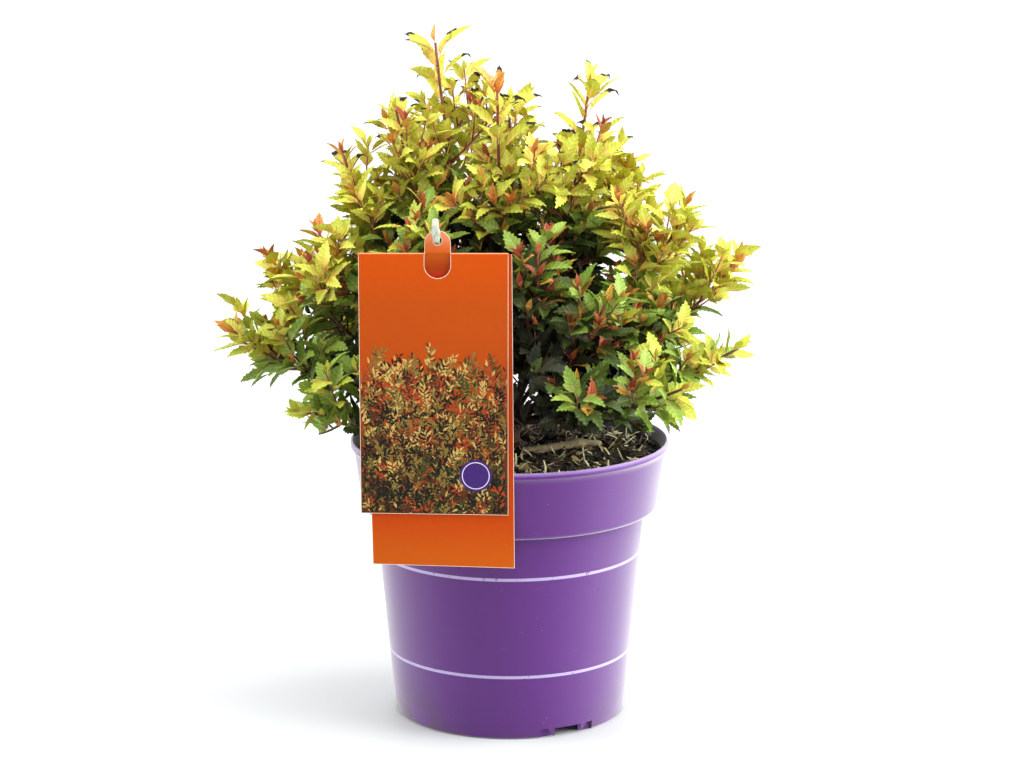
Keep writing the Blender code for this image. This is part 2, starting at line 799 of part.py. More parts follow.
def make_tag(parts, material):
    """The folded card: back half with its tab, front half with the opening the tab was cut from."""
    frame = bpy.data.objects.new("tag_frame", None)
    parts.objects.link(frame)
    frame.rotation_euler = (0.0, 0.0, TAG_TURN)
    pieces = new_collection("tag_pieces")
    back_y = -(LIP_RADIUS + GAP + CARD / 2)
    front_y = back_y - CARD - CARD_SPACING
    card_top = FOLD_HEIGHT - FOLD_RADIUS
    half_tab = TAB_WIDTH / 2
    swing = math.tan(BACK_SKEW) * (FOLD_HEIGHT - BACK_BOTTOM)
    left = BACK_CENTRE - BACK_WIDTH / 2
    right = BACK_CENTRE + BACK_WIDTH / 2
    back = [
        (left + swing, BACK_BOTTOM),
        (right + swing, BACK_BOTTOM),
        (right, card_top),
        (TAB_CENTRE + half_tab, card_top),
        *arc((TAB_CENTRE, TAB_TOP - half_tab), half_tab, 0, 180, 9),
        (TAB_CENTRE - half_tab, card_top),
        (left, card_top),
    ]
    hole = arc((TAB_CENTRE, HOOK_HOLE_HEIGHT), HOOK_HOLE_RADIUS, 0, 330, 12)
    front_left = FRONT_CENTRE - FRONT_WIDTH / 2
    front_right = FRONT_CENTRE + FRONT_WIDTH / 2
    front = [
        (front_left, FRONT_BOTTOM),
        (front_right, FRONT_BOTTOM),
        (front_right, card_top),
        (TAB_CENTRE + half_tab, card_top),
        *arc((TAB_CENTRE, OPENING_BOTTOM + half_tab), half_tab, 0, -180, 9),
        (TAB_CENTRE - half_tab, card_top),
        (front_left, card_top),
    ]
    back_card = flat_curve("tag", [back, hole], CARD, parts)
    back_card.location.y = back_y
    front_card = flat_curve("front_card", [front], CARD, pieces)
    front_card.location.y = front_y
    bpy.context.view_layer.update()
    tag = curve_to_mesh(back_card, parts)
    curve_to_mesh(front_card, pieces)
    for first, last in ((front_left, TAB_CENTRE - half_tab), (TAB_CENTRE + half_tab, front_right)):
        mesh = cylinder_mesh(FOLD_RADIUS, last - first - 2 * FOLD_INSET, 12)
        fold = add_object("fold", mesh, pieces)
        fold.location = ((first + last) / 2, (back_y + front_y) / 2, card_top)
        fold.rotation_euler = (0.0, math.pi / 2, 0.0)
    bpy.context.view_layer.update()
    tag.data = united(tag, pieces)
    remove_collection(pieces)
    tag.data.materials.append(material)
    tag.parent = frame
    return frame


def stake_centre_line():
    """The strap's bent line as (across the tag, height): up behind the tab, over it, and into its hole."""
    tab_y = -(LIP_RADIUS + GAP + CARD / 2)
    top_centre = (STAKE_BACK_Y - STAKE_BEND, STAKE_TOP - STAKE_THICKNESS / 2 - STAKE_BEND)
    foot = (STAKE_FOOT_Y, mix_height(math.hypot(TAB_CENTRE, STAKE_FOOT_Y)) + 2 * GAP)
    front = STAKE_BACK_Y - 2 * STAKE_BEND
    return [
        foot,
        *arc(top_centre, STAKE_BEND, 0, 180, 7),
        (front, HOOK_HOLE_HEIGHT + 0.0012),
        (front + 0.0012, HOOK_HOLE_HEIGHT),
        (tab_y, HOOK_HOLE_HEIGHT),
    ]


def stake_line():
    """The stake's straight shank in space, for the foliage to keep clear of."""
    line = [Vector((TAB_CENTRE, y, z)) for y, z in stake_centre_line()[:2]]
    turn = Matrix.Rotation(TAG_TURN, 3, "Z")
    return [turn @ point for point in line]


def offset_outline(line, distance):
    """A strap's outline: the line moved to one side, then back along the other."""
    moved = {1: [], -1: []}
    for i, point in enumerate(line):
        before = Vector(line[max(i - 1, 0)])
        after = Vector(line[min(i + 1, len(line) - 1)])
        here = Vector(point)
        runs = [run.normalized() for run in (here - before, after - here) if run.length > 0]
        heading = sum(runs, Vector((0.0, 0.0))).normalized()
        square = Vector((-heading.y, heading.x))
        stretch = 1 / max(heading.dot(runs[0]), 0.5)
        for side in moved:
            moved[side].append(tuple(here + square * side * distance * stretch))
    return moved[1] + moved[-1][::-1]


def make_stake(parts, frame, material):
    outline = offset_outline(stake_centre_line(), STAKE_THICKNESS / 2)
    stake = flat_curve("tag_stake", [outline], STAKE_WIDTH, parts)
    stake.data.materials.append(material)
    stake.parent = frame
    stake.location.x = TAB_CENTRE
    stake.rotation_euler = (math.pi / 2, 0.0, math.pi / 2)
    return stake


def main():
    clear_scene()
    parts = new_collection("potted_ninebark")
    cutters = new_collection("cutters")
    guides = new_collection("guides")
    materials = {name: new_material(name) for name in COLOURS}
    make_pot(parts, cutters, materials["pot_plastic"])
    turned_object("potting_mix", mix_profile(), parts, materials["potting_mix"])
    turned_object("stem_base", stem_base_profile(), parts, materials["bark"], 16)
    make_shrub(parts, guides, materials["bark"], materials["foliage"])
    frame = make_tag(parts, materials["tag_card"])
    make_stake(parts, frame, materials["stake_plastic"])


main()
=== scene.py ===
import json
import math
import random

import bmesh
import bpy
import numpy as np
from mathutils import Matrix, Vector, noise

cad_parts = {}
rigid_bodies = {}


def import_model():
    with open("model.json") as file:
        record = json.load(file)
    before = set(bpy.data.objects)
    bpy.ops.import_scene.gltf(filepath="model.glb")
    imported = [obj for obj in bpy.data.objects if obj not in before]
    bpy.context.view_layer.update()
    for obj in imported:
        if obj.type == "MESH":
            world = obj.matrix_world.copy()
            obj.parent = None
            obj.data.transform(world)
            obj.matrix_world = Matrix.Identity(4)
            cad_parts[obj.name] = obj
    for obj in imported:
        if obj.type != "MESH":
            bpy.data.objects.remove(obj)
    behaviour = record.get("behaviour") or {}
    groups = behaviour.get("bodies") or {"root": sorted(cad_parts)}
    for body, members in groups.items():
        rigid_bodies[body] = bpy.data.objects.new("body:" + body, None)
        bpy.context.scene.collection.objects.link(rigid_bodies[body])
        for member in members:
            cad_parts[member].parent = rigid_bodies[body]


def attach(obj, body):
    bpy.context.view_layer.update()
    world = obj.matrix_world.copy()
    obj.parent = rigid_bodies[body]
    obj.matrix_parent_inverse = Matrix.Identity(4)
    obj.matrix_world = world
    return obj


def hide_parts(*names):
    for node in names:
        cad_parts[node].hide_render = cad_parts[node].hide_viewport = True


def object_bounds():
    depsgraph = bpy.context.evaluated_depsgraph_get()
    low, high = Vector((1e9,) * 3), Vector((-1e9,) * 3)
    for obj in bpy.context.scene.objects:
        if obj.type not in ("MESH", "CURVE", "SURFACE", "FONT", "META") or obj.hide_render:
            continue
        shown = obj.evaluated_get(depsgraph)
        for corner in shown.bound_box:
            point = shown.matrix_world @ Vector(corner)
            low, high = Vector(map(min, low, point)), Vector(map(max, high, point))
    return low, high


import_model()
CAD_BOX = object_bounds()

GAP = 0.0003
MERGE = 0.00001

# Pot
POT_HEIGHT = 0.2015
WALL = 0.0018
FOOT_RADIUS = 0.0835
BODY_TOP_RADIUS = 0.0977
BAND_BOTTOM = 0.1517
BAND_BOTTOM_RADIUS = 0.1070
BAND_CORNER = 0.0035
BAND_TOP = 0.1930
BAND_TOP_RADIUS = 0.1122
LIP_RADIUS = 0.1150
LIP_ROUND = 0.0008
LIP_DEPTH = 0.0050
FLOOR_UNDERSIDE = 0.0078
FLOOR_TOP = 0.0100
FOOT_RING_WIDTH = 0.0045
BOSS_RADIUS = 0.0240
NOTCH_COUNT = 3
NOTCH_BEARING = math.radians(-60)
NOTCH_WIDTH = 0.0430
NOTCH_HEIGHT = 0.0065
NOTCH_RECESS = 0.0020
NOTCH_OPENING = 0.0220
DRAIN_COUNT = 6
DRAIN_CIRCLE = 0.0560
DRAIN_RADIUS = 0.0045
STRIPE_HEIGHTS = (0.1203, 0.0471)
STRIPE_WIDTH = 0.0022
POT_STEPS = 144

# Potting mix
MIX_TOP = 0.1965
MIX_EDGE = 0.1900
MIX_SEAT_RADIUS = 0.0150
MIX_RELIEF = 0.0022
MIX_BANK = 0.0035
LITTER_REACH = 0.1065
LITTER_TOP = 0.2075
FIBRE_COUNT = 240
# Each row: its name, three tones, how many, and their lengths, widths, thicknesses, bend and steepness
LITTER = (
    (
        "straw", ((210, 204, 148), (234, 228, 184), (150, 140, 90)),
        400, (0.004, 0.016), (0.0005, 0.0018), (0.0003, 0.0008), 0.6, 0.60,
    ),
    (
        "bark_chips", ((62, 52, 36), (98, 84, 58), (32, 27, 20)),
        420, (0.004, 0.013), (0.0014, 0.0040), (0.0008, 0.0020), 0.2, 0.35,
    ),
    (
        "peat_crumbs", ((30, 26, 20), (52, 44, 32), (18, 16, 13)),
        1200, (0.0016, 0.0046), (0.0012, 0.0032), (0.0010, 0.0026), 0.1, 0.35,
    ),
    (
        "dry_leaf", ((150, 118, 74), (184, 160, 112), (96, 66, 42)),
        50, (0.006, 0.012), (0.004, 0.008), (0.0003, 0.0005), 0.3, 0.5,
    ),
)
LONG_TWIG = ((0.010, -0.026), (0.026, -0.018), (0.040, -0.012), (0.053, -0.006), (0.066, 0.006))
SHORT_TWIG = ((-0.002, -0.078), (0.006, -0.070), (0.013, -0.0635))

# Stem base
FLARE_RADIUS = 0.0135
FLARE_HEIGHT = 0.0050
WAIST_RADIUS = 0.0078
KNUCKLE_RADIUS = 0.0105
KNUCKLE_HEIGHT = 0.0170
STEM_FOOT = MIX_TOP + GAP
KNUCKLE = Vector((0.0, 0.0, STEM_FOOT + KNUCKLE_HEIGHT))

# Shoots. Each row: bearing of the tip from +X in degrees, its distance from the axis, its height
SHOOTS = (
    (169, 0.055, 0.500),
    (-101, 0.046, 0.472),
    (-15, 0.060, 0.474),
    (-160, 0.087, 0.457),
    (-172, 0.123, 0.424),
    (-161, 0.148, 0.372),
    (177, 0.181, 0.343),
    (-172, 0.211, 0.294),
    (-154, 0.178, 0.240),
    (-128, 0.108, 0.385),
    (-80, 0.118, 0.368),
    (-56, 0.125, 0.330),
    (-66, 0.152, 0.262),
    (-36, 0.160, 0.262),
    (-12, 0.133, 0.388),
    (5, 0.170, 0.337),
    (-9, 0.176, 0.280),
    (34, 0.170, 0.300),
    (42, 0.112, 0.418),
    (90, 0.082, 0.448),
    (74, 0.162, 0.325),
    (134, 0.118, 0.405),
    (112, 0.168, 0.315),
    (148, 0.176, 0.275),
)
LEADERS = (0, 1, 2)
# How sunned each shoot is beside its place in the crown: the front middle ones are shaded. It darkens or
# lightens their leaves' colours: painted shade and painted light.
SHOOT_SUN = (
    0.14, 0.04, 0.14, 0.10, 0.10, 0.12, 0.16, 0.18, 0.20, -0.34, -0.52, -0.38,
    -0.38, 0.06, 0.18, 0.20, 0.16, 0.16, 0.12, 0.06, 0.0, 0.0, 0.0, 0.12,
)
# The shoots whose sprays are more often tinted
WARM_SHOOTS = (1, 3, 9, 10, 11)
# The low outer shoots are open, so that their stems and the light behind them show
OPEN_SHOOTS = (6, 7, 8, 12, 13, 16, 23)
OPENNESS = 0.60
SHOOT_OUTWARD = 0.66
SHOOT_UPWARD = 0.34
BOUGH_LENGTH = 0.040
SQUARE_RUN = 0.0100
FOOT_SPREAD = math.radians(23.5)
SPREAD_ROUNDS = 300
LOWEST_HEADING = 0.04

# Growth rule
SEED = 29
GOLDEN_ANGLE = math.radians(137.508)
NODE_SPACING = 0.0044
FIRST_NODE = 0.0050
TWIG_EVERY = 3
TWIGS_END = 0.72
TWIG_LENGTH = 0.050
TWIG_TAPER = 0.45
TWIG_RISE = 0.25
TWIG_LEAF_SPACING = 0.0070
SPUR_LEAF_SPACING = 0.0042
TUFT = 0.024
STEM_SHORT = 0.014
SPUR_LEAF_ANGLE = math.radians(58)
SPUR_LENGTHS = (0.018, 0.033)
STEM_LEAF = 0.0265
TWIG_LEAF = 0.0255
SPUR_LEAF = 0.024
LONE_LEAF = 0.028
# The leaves at a twig's tip, from the last one down: each one's angle to the twig, its length and its youth
TIP_LEAVES = (
    (14, 0.013, 1.0), (27, 0.017, 0.95), (39, 0.022, 0.85), (50, 0.025, 0.7), (60, 0.027, 0.6),
)
CROWN_FOOT = 0.205
CROWN_HEIGHT = 0.295
CROWN_RADIUS = 0.235
LEAF_SCALE = 0.80
BUSHY = 0.85
LEADER_BUSHY = 0.68
LEADER_LEAF = 1.35
ANGLE_LOW = 66
ANGLE_HIGH = 50

# Room
SPACE_MARGIN = 0.0016
BOUGH_CLEARANCE = 0.0065
STAKE_CLEARANCE = 0.0080
TAG_CLEARANCE = 0.0040
LEAF_CLEARANCE = 0.0045
FOLIAGE_FLOOR = 0.2045
OVERHANG = 0.002
FRONT_CLEAR = 0.018
KNUCKLE_CLEARANCE = 0.0190

# Tag
TAG_TURN = math.radians(-3)
CARD = 0.0005
CARD_SPACING = 0.0012
FOLD_HEIGHT = 0.3560
FOLD_RADIUS = 0.0013
FRONT_CENTRE = -0.0456
FRONT_WIDTH = 0.1020
FRONT_BOTTOM = 0.1730
BACK_CENTRE = -0.0417
BACK_WIDTH = 0.0990
BACK_BOTTOM = 0.1350
BACK_SKEW = math.radians(0.5)
TAB_CENTRE = -0.0428
TAB_WIDTH = 0.0178
TAB_TOP = 0.3712
OPENING_BOTTOM = 0.3385
HOOK_HOLE_HEIGHT = 0.3640
HOOK_HOLE_RADIUS = 0.0030
PRINTED_SPRIGS = 820
TRIM = 0.00030
STAKE_WIDTH = 0.0044
STAKE_THICKNESS = 0.0020
STAKE_FOOT_Y = -0.0870
STAKE_TOP = 0.3795
STAKE_BACK_Y = -0.1140
STAKE_BEND = 0.0036
STAKE_LEAN = 0.0013
BACK_CARD_Y = -(LIP_RADIUS + GAP + CARD / 2)
FRONT_CARD_Y = BACK_CARD_Y - CARD - CARD_SPACING

# Stage. Each light: its name, its place, what it points at, its two sizes and its power in watts
FLOOR_REACH = 9.0
FLOOR_SIDES = 64
SURROUND = 0.62
LIGHTS = (
    ("overhead", (0.3, -0.4, 2.2), (0.0, 0.0, 0.25), (1.6, 1.6), 38.0),
    ("front", (-0.5, -2.6, 1.9), (0.0, 0.0, 0.30), (1.8, 1.2), 16.0),
    ("right_side", (1.85, -0.20, 0.80), (0.0, 0.0, 0.22), (1.9, 1.4), 80.0),
    ("left_side", (-1.90, 0.10, 0.90), (0.0, 0.0, 0.22), (1.2, 1.2), 34.0),
    ("far_floor", (0.0, 4.8, 1.7), (0.0, 4.81, 0.0), (7.6, 7.6), 300.0),
)
CAMERA_PLACE = (0.0018, -2.258, 0.7151)
CAMERA_DIP = 0.207
LENS = 112.42
SENSOR = 36.0


def shade(red, green, blue):
    """A colour from its screen values, 0 to 255."""
    channels = []
    for value in (red, green, blue):
        share = value / 255
        channels.append(share / 12.92 if share <= 0.04045 else ((share + 0.055) / 1.055) ** 2.4)
    return (*channels, 1.0)


def maths(operation, *terms):
    finish = next(term.finish for term in terms if isinstance(term, Wire))
    return finish.node("Math", {"operation": operation}, dict(enumerate(terms)))


class Wire:
    """A shader value that takes part in sums."""

    def __init__(self, finish, socket):
        self.finish = finish
        self.socket = socket

    def __add__(self, other):
        return maths("ADD", self, other)

    __radd__ = __add__

    def __sub__(self, other):
        return maths("SUBTRACT", self, other)

    def __rsub__(self, other):
        return maths("SUBTRACT", other, self)

    def __mul__(self, other):
        return maths("MULTIPLY", self, other)

    __rmul__ = __mul__

    def __abs__(self):
        return maths("ABSOLUTE", self)

    def rise(self, low, high):
        """0 below low, 1 above high, and smooth between them."""
        settings = {"interpolation_type": "SMOOTHSTEP"}
        return self.finish.node("MapRange", settings, {0: self, 1: low, 2: high})

    def clamp(self):
        return self.finish.node("Clamp", {}, {0: self})


class Finish:
    """A material while it is being made: its nodes, and the Principled shader that they feed."""

    def __init__(self, name, roughness, **constants):
        self.material = bpy.data.materials.new(name)
        self.material.use_nodes = True
        self.tree = self.material.node_tree
        self.shader = self.tree.nodes["Principled BSDF"]
        self.shader.inputs["Roughness"].default_value = roughness
        for socket, value in constants.items():
            self.shader.inputs[socket.replace("_", " ")].default_value = value
        self.place = None

    def node(self, kind, settings, inputs, output=0):
        node = self.tree.nodes.new("ShaderNode" + kind)
        for key, value in settings.items():
            setattr(node, key, value)
        for key, value in inputs.items():
            if isinstance(value, Wire):
                self.tree.links.new(value.socket, node.inputs[key])
            else:
                node.inputs[key].default_value = value
        return Wire(self, node.outputs[output])

    def feed(self, socket, value):
        self.tree.links.new(value.socket, self.shader.inputs[socket])

    def blend(self, share, first, second):
        """Two colours mixed, each a wire or three screen values."""
        pair = (colour if isinstance(colour, Wire) else shade(*colour) for colour in (first, second))
        return self.node("Mix", {"data_type": "RGBA"}, {0: share, **dict(zip((6, 7), pair))}, 2)

    def at(self, stretch=(1.0, 1.0, 1.0)):
        if self.place is None:
            self.place = self.node("TexCoord", {}, {}, "Object")
        if stretch == (1.0, 1.0, 1.0):
            return self.place
        return self.node("VectorMath", {"operation": "MULTIPLY"}, {0: self.place, 1: stretch})

    def ramp(self, value, stops):
        """A colour that changes with a value, by its stops of (value, red, green, blue)."""
        colour = stops[0][1:]
        for (before, *_), (after, *tone) in zip(stops, stops[1:]):
            colour = self.blend(value.rise(before, after), colour, tone)
        return colour

    def noise(self, scale, detail=3.0, stretch=(1.0, 1.0, 1.0), roughness=0.5):
        inputs = {"Vector": self.at(stretch), "Scale": scale, "Detail": detail}
        inputs["Roughness"] = roughness
        return self.node("TexNoise", {}, inputs)

    def cells(self, scale, feature="F1", stretch=(1.0, 1.0, 1.0)):
        inputs = {"Vector": self.at(stretch), "Scale": scale}
        return self.node("TexVoronoi", {"feature": feature}, inputs, "Distance")

    def axes(self):
        split = self.node("SeparateXYZ", {}, {0: self.at()})
        return [Wire(self, socket) for socket in split.socket.node.outputs]

    def map_axes(self, name):
        where = self.node("UVMap", {"uv_map": name}, {})
        split = self.node("SeparateXYZ", {}, {0: where})
        return [Wire(self, socket) for socket in split.socket.node.outputs][:2]

    def relief(self, height, distance, strength=1.0):
        inputs = {"Strength": strength, "Distance": distance, "Height": height}
        self.feed("Normal", self.node("Bump", {}, inputs))


def gather_faces(groups):
    corners = np.concatenate([np.asarray(group).ravel() for group in groups])
    sizes = np.concatenate([np.full(len(group), np.shape(group)[1]) for group in groups])
    return corners.astype(np.int32), sizes


def build_mesh(name, points, groups, maps=None, slots=None, smooth=True):
    """A mesh from its points and its groups of faces, each group an array with a row for each face."""
    corners, sizes = gather_faces(groups)
    mesh = bpy.data.meshes.new(name)
    mesh.vertices.add(len(points))
    mesh.vertices.foreach_set("co", np.asarray(points, np.float32).ravel())
    mesh.loops.add(len(corners))
    mesh.loops.foreach_set("vertex_index", corners)
    mesh.polygons.add(len(sizes))
    starts = np.concatenate([[0], np.cumsum(sizes)[:-1]]).astype(np.int32)
    mesh.polygons.foreach_set("loop_start", starts)
    mesh.polygons.foreach_set("use_smooth", np.full(len(sizes), smooth))
    if slots is not None:
        mesh.polygons.foreach_set("material_index", np.asarray(slots, np.int32))
    mesh.update(calc_edges=True)
    for label, places in (maps or {}).items():
        layer = mesh.uv_layers.new(name=label, do_init=False)
        layer.uv.foreach_set("vector", np.asarray(places, np.float32).ravel())
    return mesh


def add_object(name, data):
    ob = bpy.data.objects.new(name, data)
    bpy.context.scene.collection.objects.link(ob)
    return ob


def finished_mesh(ob):
    """The mesh that an object's modifiers or curve give. The object itself goes."""
    bpy.context.view_layer.update()
    graph = bpy.context.evaluated_depsgraph_get()
    mesh = bpy.data.meshes.new_from_object(ob.evaluated_get(graph))
    bpy.data.objects.remove(ob)
    return mesh


def place_piece(name, data, finishes, replaces=()):
    """Puts a finished piece in the scene, riding on the pot."""
    piece = add_object(name, data)
    for finish in finishes:
        data.materials.append(finish.material)
    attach(piece, "root")
    if replaces:
        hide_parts(*replaces)


class Bundle:
    """Small shapes of one kind, gathered into one mesh."""

    def __init__(self):
        self.points = []
        self.groups = []
        self.slots = []
        self.count = 0

    def add(self, points, groups, slot=0):
        self.points.append(np.asarray(points, float))
        for group in groups:
            group = np.asarray(group)
            self.groups.append(group + self.count)
            self.slots.append(np.full(len(group), slot))
        self.count += len(points)

    def mesh(self, name, smooth=True):
        points = np.concatenate(self.points)
        return build_mesh(name, points, self.groups, slots=np.concatenate(self.slots), smooth=smooth)


def sides_of(direction):
    """Two unit vectors square to a direction."""
    first = direction.cross(Vector((0.0, 0.0, 1.0)))
    if first.length < 0.1:
        first = direction.cross(Vector((0.0, 1.0, 0.0)))
    first.normalize()
    return first, direction.cross(first)


def tube(line, radii, sides, rough=0.0, seed=0.0):
    """A closed round limb along a line, its skin ridged lengthways by the share rough."""
    line = [Vector(point) for point in line]
    rings = []
    across = None
    angles = [math.tau * i / sides for i in range(sides)]
    for i, point in enumerate(line):
        heading = (line[min(i + 1, len(line) - 1)] - line[max(i - 1, 0)]).normalized()
        if across is None:
            across = sides_of(heading)[0]
        across = (across - heading * across.dot(heading)).normalized()
        second = heading.cross(across)
        for angle in angles:
            out = across * math.cos(angle) + second * math.sin(angle)
            radius = radii[i]
            if rough:
                ridge = Vector((3.1 * out.x + seed, 3.1 * out.y, 3.1 * out.z + point.length * 60))
                radius *= 1 + rough * noise.noise(ridge)
            rings.append(point + out * radius)
    return [tuple(point) for point in rings], [skin_faces(len(line), sides), end_faces(len(line), sides)]


def skin_faces(rings, steps, first=0):
    """The faces between closed rings of points, numbered from the point first."""
    faces = []
    for i in range(rings - 1):
        low = first + i * steps
        for j in range(steps):
            k = (j + 1) % steps
            faces.append((low + j, low + k, low + steps + k, low + steps + j))
    return faces


def end_faces(rings, steps):
    """The two faces that close a skin of rings."""
    last = (rings - 1) * steps
    return [tuple(reversed(range(steps))), tuple(range(last, last + steps))]


def fair(first, last, count):
    """Even steps from the first value to the last."""
    return [first + (last - first) * i / (count - 1) for i in range(count)]


# Growth, by the same rule as the solids, carried to finer twigs


class Path:
    """A smooth centre line, drawn by its guide points: it starts at the first and ends at the last."""

    STEPS = 24

    def __init__(self, *guides):
        self.guides = guides
        stations = self.points(0.0, 1.0, self.STEPS + 1)
        self.travelled = [0.0]
        for before, after in zip(stations, stations[1:]):
            self.travelled.append(self.travelled[-1] + (after - before).length)
        self.length = self.travelled[-1]

    def run(self, t):
        points = self.guides
        while len(points) > 2:
            points = [a.lerp(b, t) for a, b in zip(points, points[1:])]
        return points

    def point(self, t):
        before, after = self.run(t)
        return before.lerp(after, t)

    def direction(self, t):
        before, after = self.run(t)
        return (after - before).normalized()

    def at(self, distance):
        return float(np.interp(distance, self.travelled, np.linspace(0.0, 1.0, self.STEPS + 1)))

    def points(self, first, last, count):
        return [self.point(first + (last - first) * i / (count - 1)) for i in range(count)]


def spread_apart(headings):
    """Turns headings away from their neighbours until none is nearer to another than the feet allow."""
    headings = list(headings)
    for _ in range(SPREAD_ROUNDS):
        for i in range(len(headings)):
            for j in range(i):
                first, second = headings[i], headings[j]
                short = FOOT_SPREAD - first.angle(second)
                if short > 0:
                    turn = Matrix.Rotation(short / 2, 3, first.cross(second).normalized())
                    headings[i] = turn.inverted() @ first
                    headings[j] = turn @ second
        for heading in headings:
            heading.z = max(heading.z, LOWEST_HEADING)
            heading.normalize()
    return headings


def shoot_paths():
    """Each shoot leaves the knuckle squarely, swings outward, and bends up to its tip."""
    bends = []
    tips = []
    for bearing, reach, height in SHOOTS:
        turn = math.radians(bearing)
        outward = Vector((math.cos(turn), math.sin(turn), 0.0))
        bends.append(outward * reach * SHOOT_OUTWARD)
        bends[-1].z = KNUCKLE.z + (height - KNUCKLE.z) * SHOOT_UPWARD
        tips.append(outward * reach)
        tips[-1].z = height
    headings = spread_apart((bend - KNUCKLE).normalized() for bend in bends)
    paths = []
    for heading, bend, tip in zip(headings, bends, tips):
        start = KNUCKLE + heading * (KNUCKLE_RADIUS + GAP)
        paths.append(Path(start, start + heading * SQUARE_RUN, bend, tip))
    return paths


def distance_to_line(points, line):
    """The least distance from each of the points to a line of straight runs."""
    starts = line[:-1]
    runs = line[1:] - starts
    offsets = points[:, None, :] - starts[None, :, :]
    share = np.clip((offsets * runs).sum(2) / (runs * runs).sum(1), 0.0, 1.0)
    return np.linalg.norm(offsets - share[:, :, None] * runs, axis=2).min(1)


def mix_height(radius):
    """Height of the potting mix: flat under the stem, falling to the pot's wall."""
    reach = BAND_TOP_RADIUS - WALL - GAP
    share = min(max((radius - MIX_SEAT_RADIUS) / (reach - MIX_SEAT_RADIUS), 0.0), 1.0)
    return MIX_EDGE + (MIX_TOP - MIX_EDGE) * 0.5 * (1 + math.cos(math.pi * share))


def lowest_leaf(points):
    """How low leaves hang at each point: higher at the front, where the mix shows below them."""
    forward = np.clip((-points[:, 1] - 0.015) / 0.05, 0.0, 1.0)
    inward = np.clip((0.080 - points[:, 0]) / 0.03, 0.0, 1.0)
    return FOLIAGE_FLOOR + 0.001 + FRONT_CLEAR * forward * inward


def arc(centre, radius, first, last, count):
    """Points on an arc, angles in degrees from the first axis."""
    angles = [math.radians(first + (last - first) * i / (count - 1)) for i in range(count)]
    return [(centre[0] + radius * math.cos(a), centre[1] + radius * math.sin(a)) for a in angles]


def stake_centre_line():
    """The strap's bent line as (across the tag, height): up behind the tab, over it, and into its hole."""
    top_centre = (STAKE_BACK_Y - STAKE_BEND, STAKE_TOP - STAKE_THICKNESS / 2 - STAKE_BEND)
    foot = (STAKE_FOOT_Y, mix_height(math.hypot(TAB_CENTRE, STAKE_FOOT_Y)) + 2 * GAP)
    front = STAKE_BACK_Y - 2 * STAKE_BEND
    return [
        foot,
        *arc(top_centre, STAKE_BEND, 0, 180, 7),
        (front, HOOK_HOLE_HEIGHT + 0.0012),
        (front + 0.0012, HOOK_HOLE_HEIGHT),
        (BACK_CARD_Y, HOOK_HOLE_HEIGHT),
    ]


class Room:
    """Says whether a twig or leaf stays in its own mass's space, clear of limbs, tag, stake and mix."""

    CELL = 0.005

    def __init__(self, boughs, stems):
        self.boughs = [np.array(line) for line in boughs]
        self.stems = [np.array(line) for line in stems]
        turn = Matrix.Rotation(TAG_TURN, 3, "Z")
        shank = stake_centre_line()[:2]
        self.stake = np.array([turn @ Vector((TAB_CENTRE, y, z)) for y, z in shank])
        self.low, self.high = (np.array(corner) for corner in CAD_BOX)
        self.cells = {}

    def holds(self, points, own):
        points = np.array(points)
        if points[:, 2].min() < FOLIAGE_FLOOR:
            return False
        if np.linalg.norm(points - np.array(KNUCKLE), axis=1).min() < KNUCKLE_CLEARANCE:
            return False
        if distance_to_line(points, self.stake).min() < STAKE_CLEARANCE:
            return False
        if self.meets_tag(points, TAG_CLEARANCE):
            return False
        if min(distance_to_line(points, line).min() for line in self.boughs) < BOUGH_CLEARANCE:
            return False
        if own is None:
            return bool((points[:, 2] > lowest_leaf(points)).all())
        near = np.array([distance_to_line(points, line) for line in self.stems])
        others = np.delete(near, own, axis=0).min(axis=0)
        return bool((others - near[own] > SPACE_MARGIN).all())

    def meets_tag(self, points, clearance):
        """Whether any point is in the tag, or stands before it."""
        across = points[:, 0] * math.cos(TAG_TURN) + points[:, 1] * math.sin(TAG_TURN)
        towards = points[:, 0] * math.sin(TAG_TURN) - points[:, 1] * math.cos(TAG_TURN)
        left = FRONT_CENTRE - FRONT_WIDTH / 2 - clearance
        right = BACK_CENTRE + BACK_WIDTH / 2 + clearance
        beside_card = (across > left) & (across < right)
        card = beside_card & (points[:, 2] < FOLD_HEIGHT + clearance)
        beside_tab = abs(across - TAB_CENTRE) < TAB_WIDTH / 2 + clearance
        tab = beside_tab & (points[:, 2] < STAKE_TOP + clearance)
        before = towards > LIP_RADIUS + GAP - clearance
        return bool((before & (card | tab)).any())

    def open_to(self, points, apart):
        """Whether a real leaf fits there: in the plant's reach, off tag and mix, clear of other leaves."""
        points = np.array(points)
        if (points < self.low - OVERHANG).any() or (points > self.high + OVERHANG).any():
            return False
        if (points[:, 2] < lowest_leaf(points)).any():
            return False
        if self.meets_tag(points, LEAF_CLEARANCE):
            return False
        if distance_to_line(points, self.stake).min() < LEAF_CLEARANCE:
            return False
        for point in points:
            cell = tuple(int(v // self.CELL) for v in point)
            for x in (-1, 0, 1):
                for y in (-1, 0, 1):
                    for z in (-1, 0, 1):
                        for other in self.cells.get((cell[0] + x, cell[1] + y, cell[2] + z), ()):
                            if sum((a - b) ** 2 for a, b in zip(point, other)) < apart * apart:
                                return False
        return True

    def take(self, points):
        for point in points:
            cell = tuple(int(v // self.CELL) for v in point)
            self.cells.setdefault(cell, []).append(tuple(point))


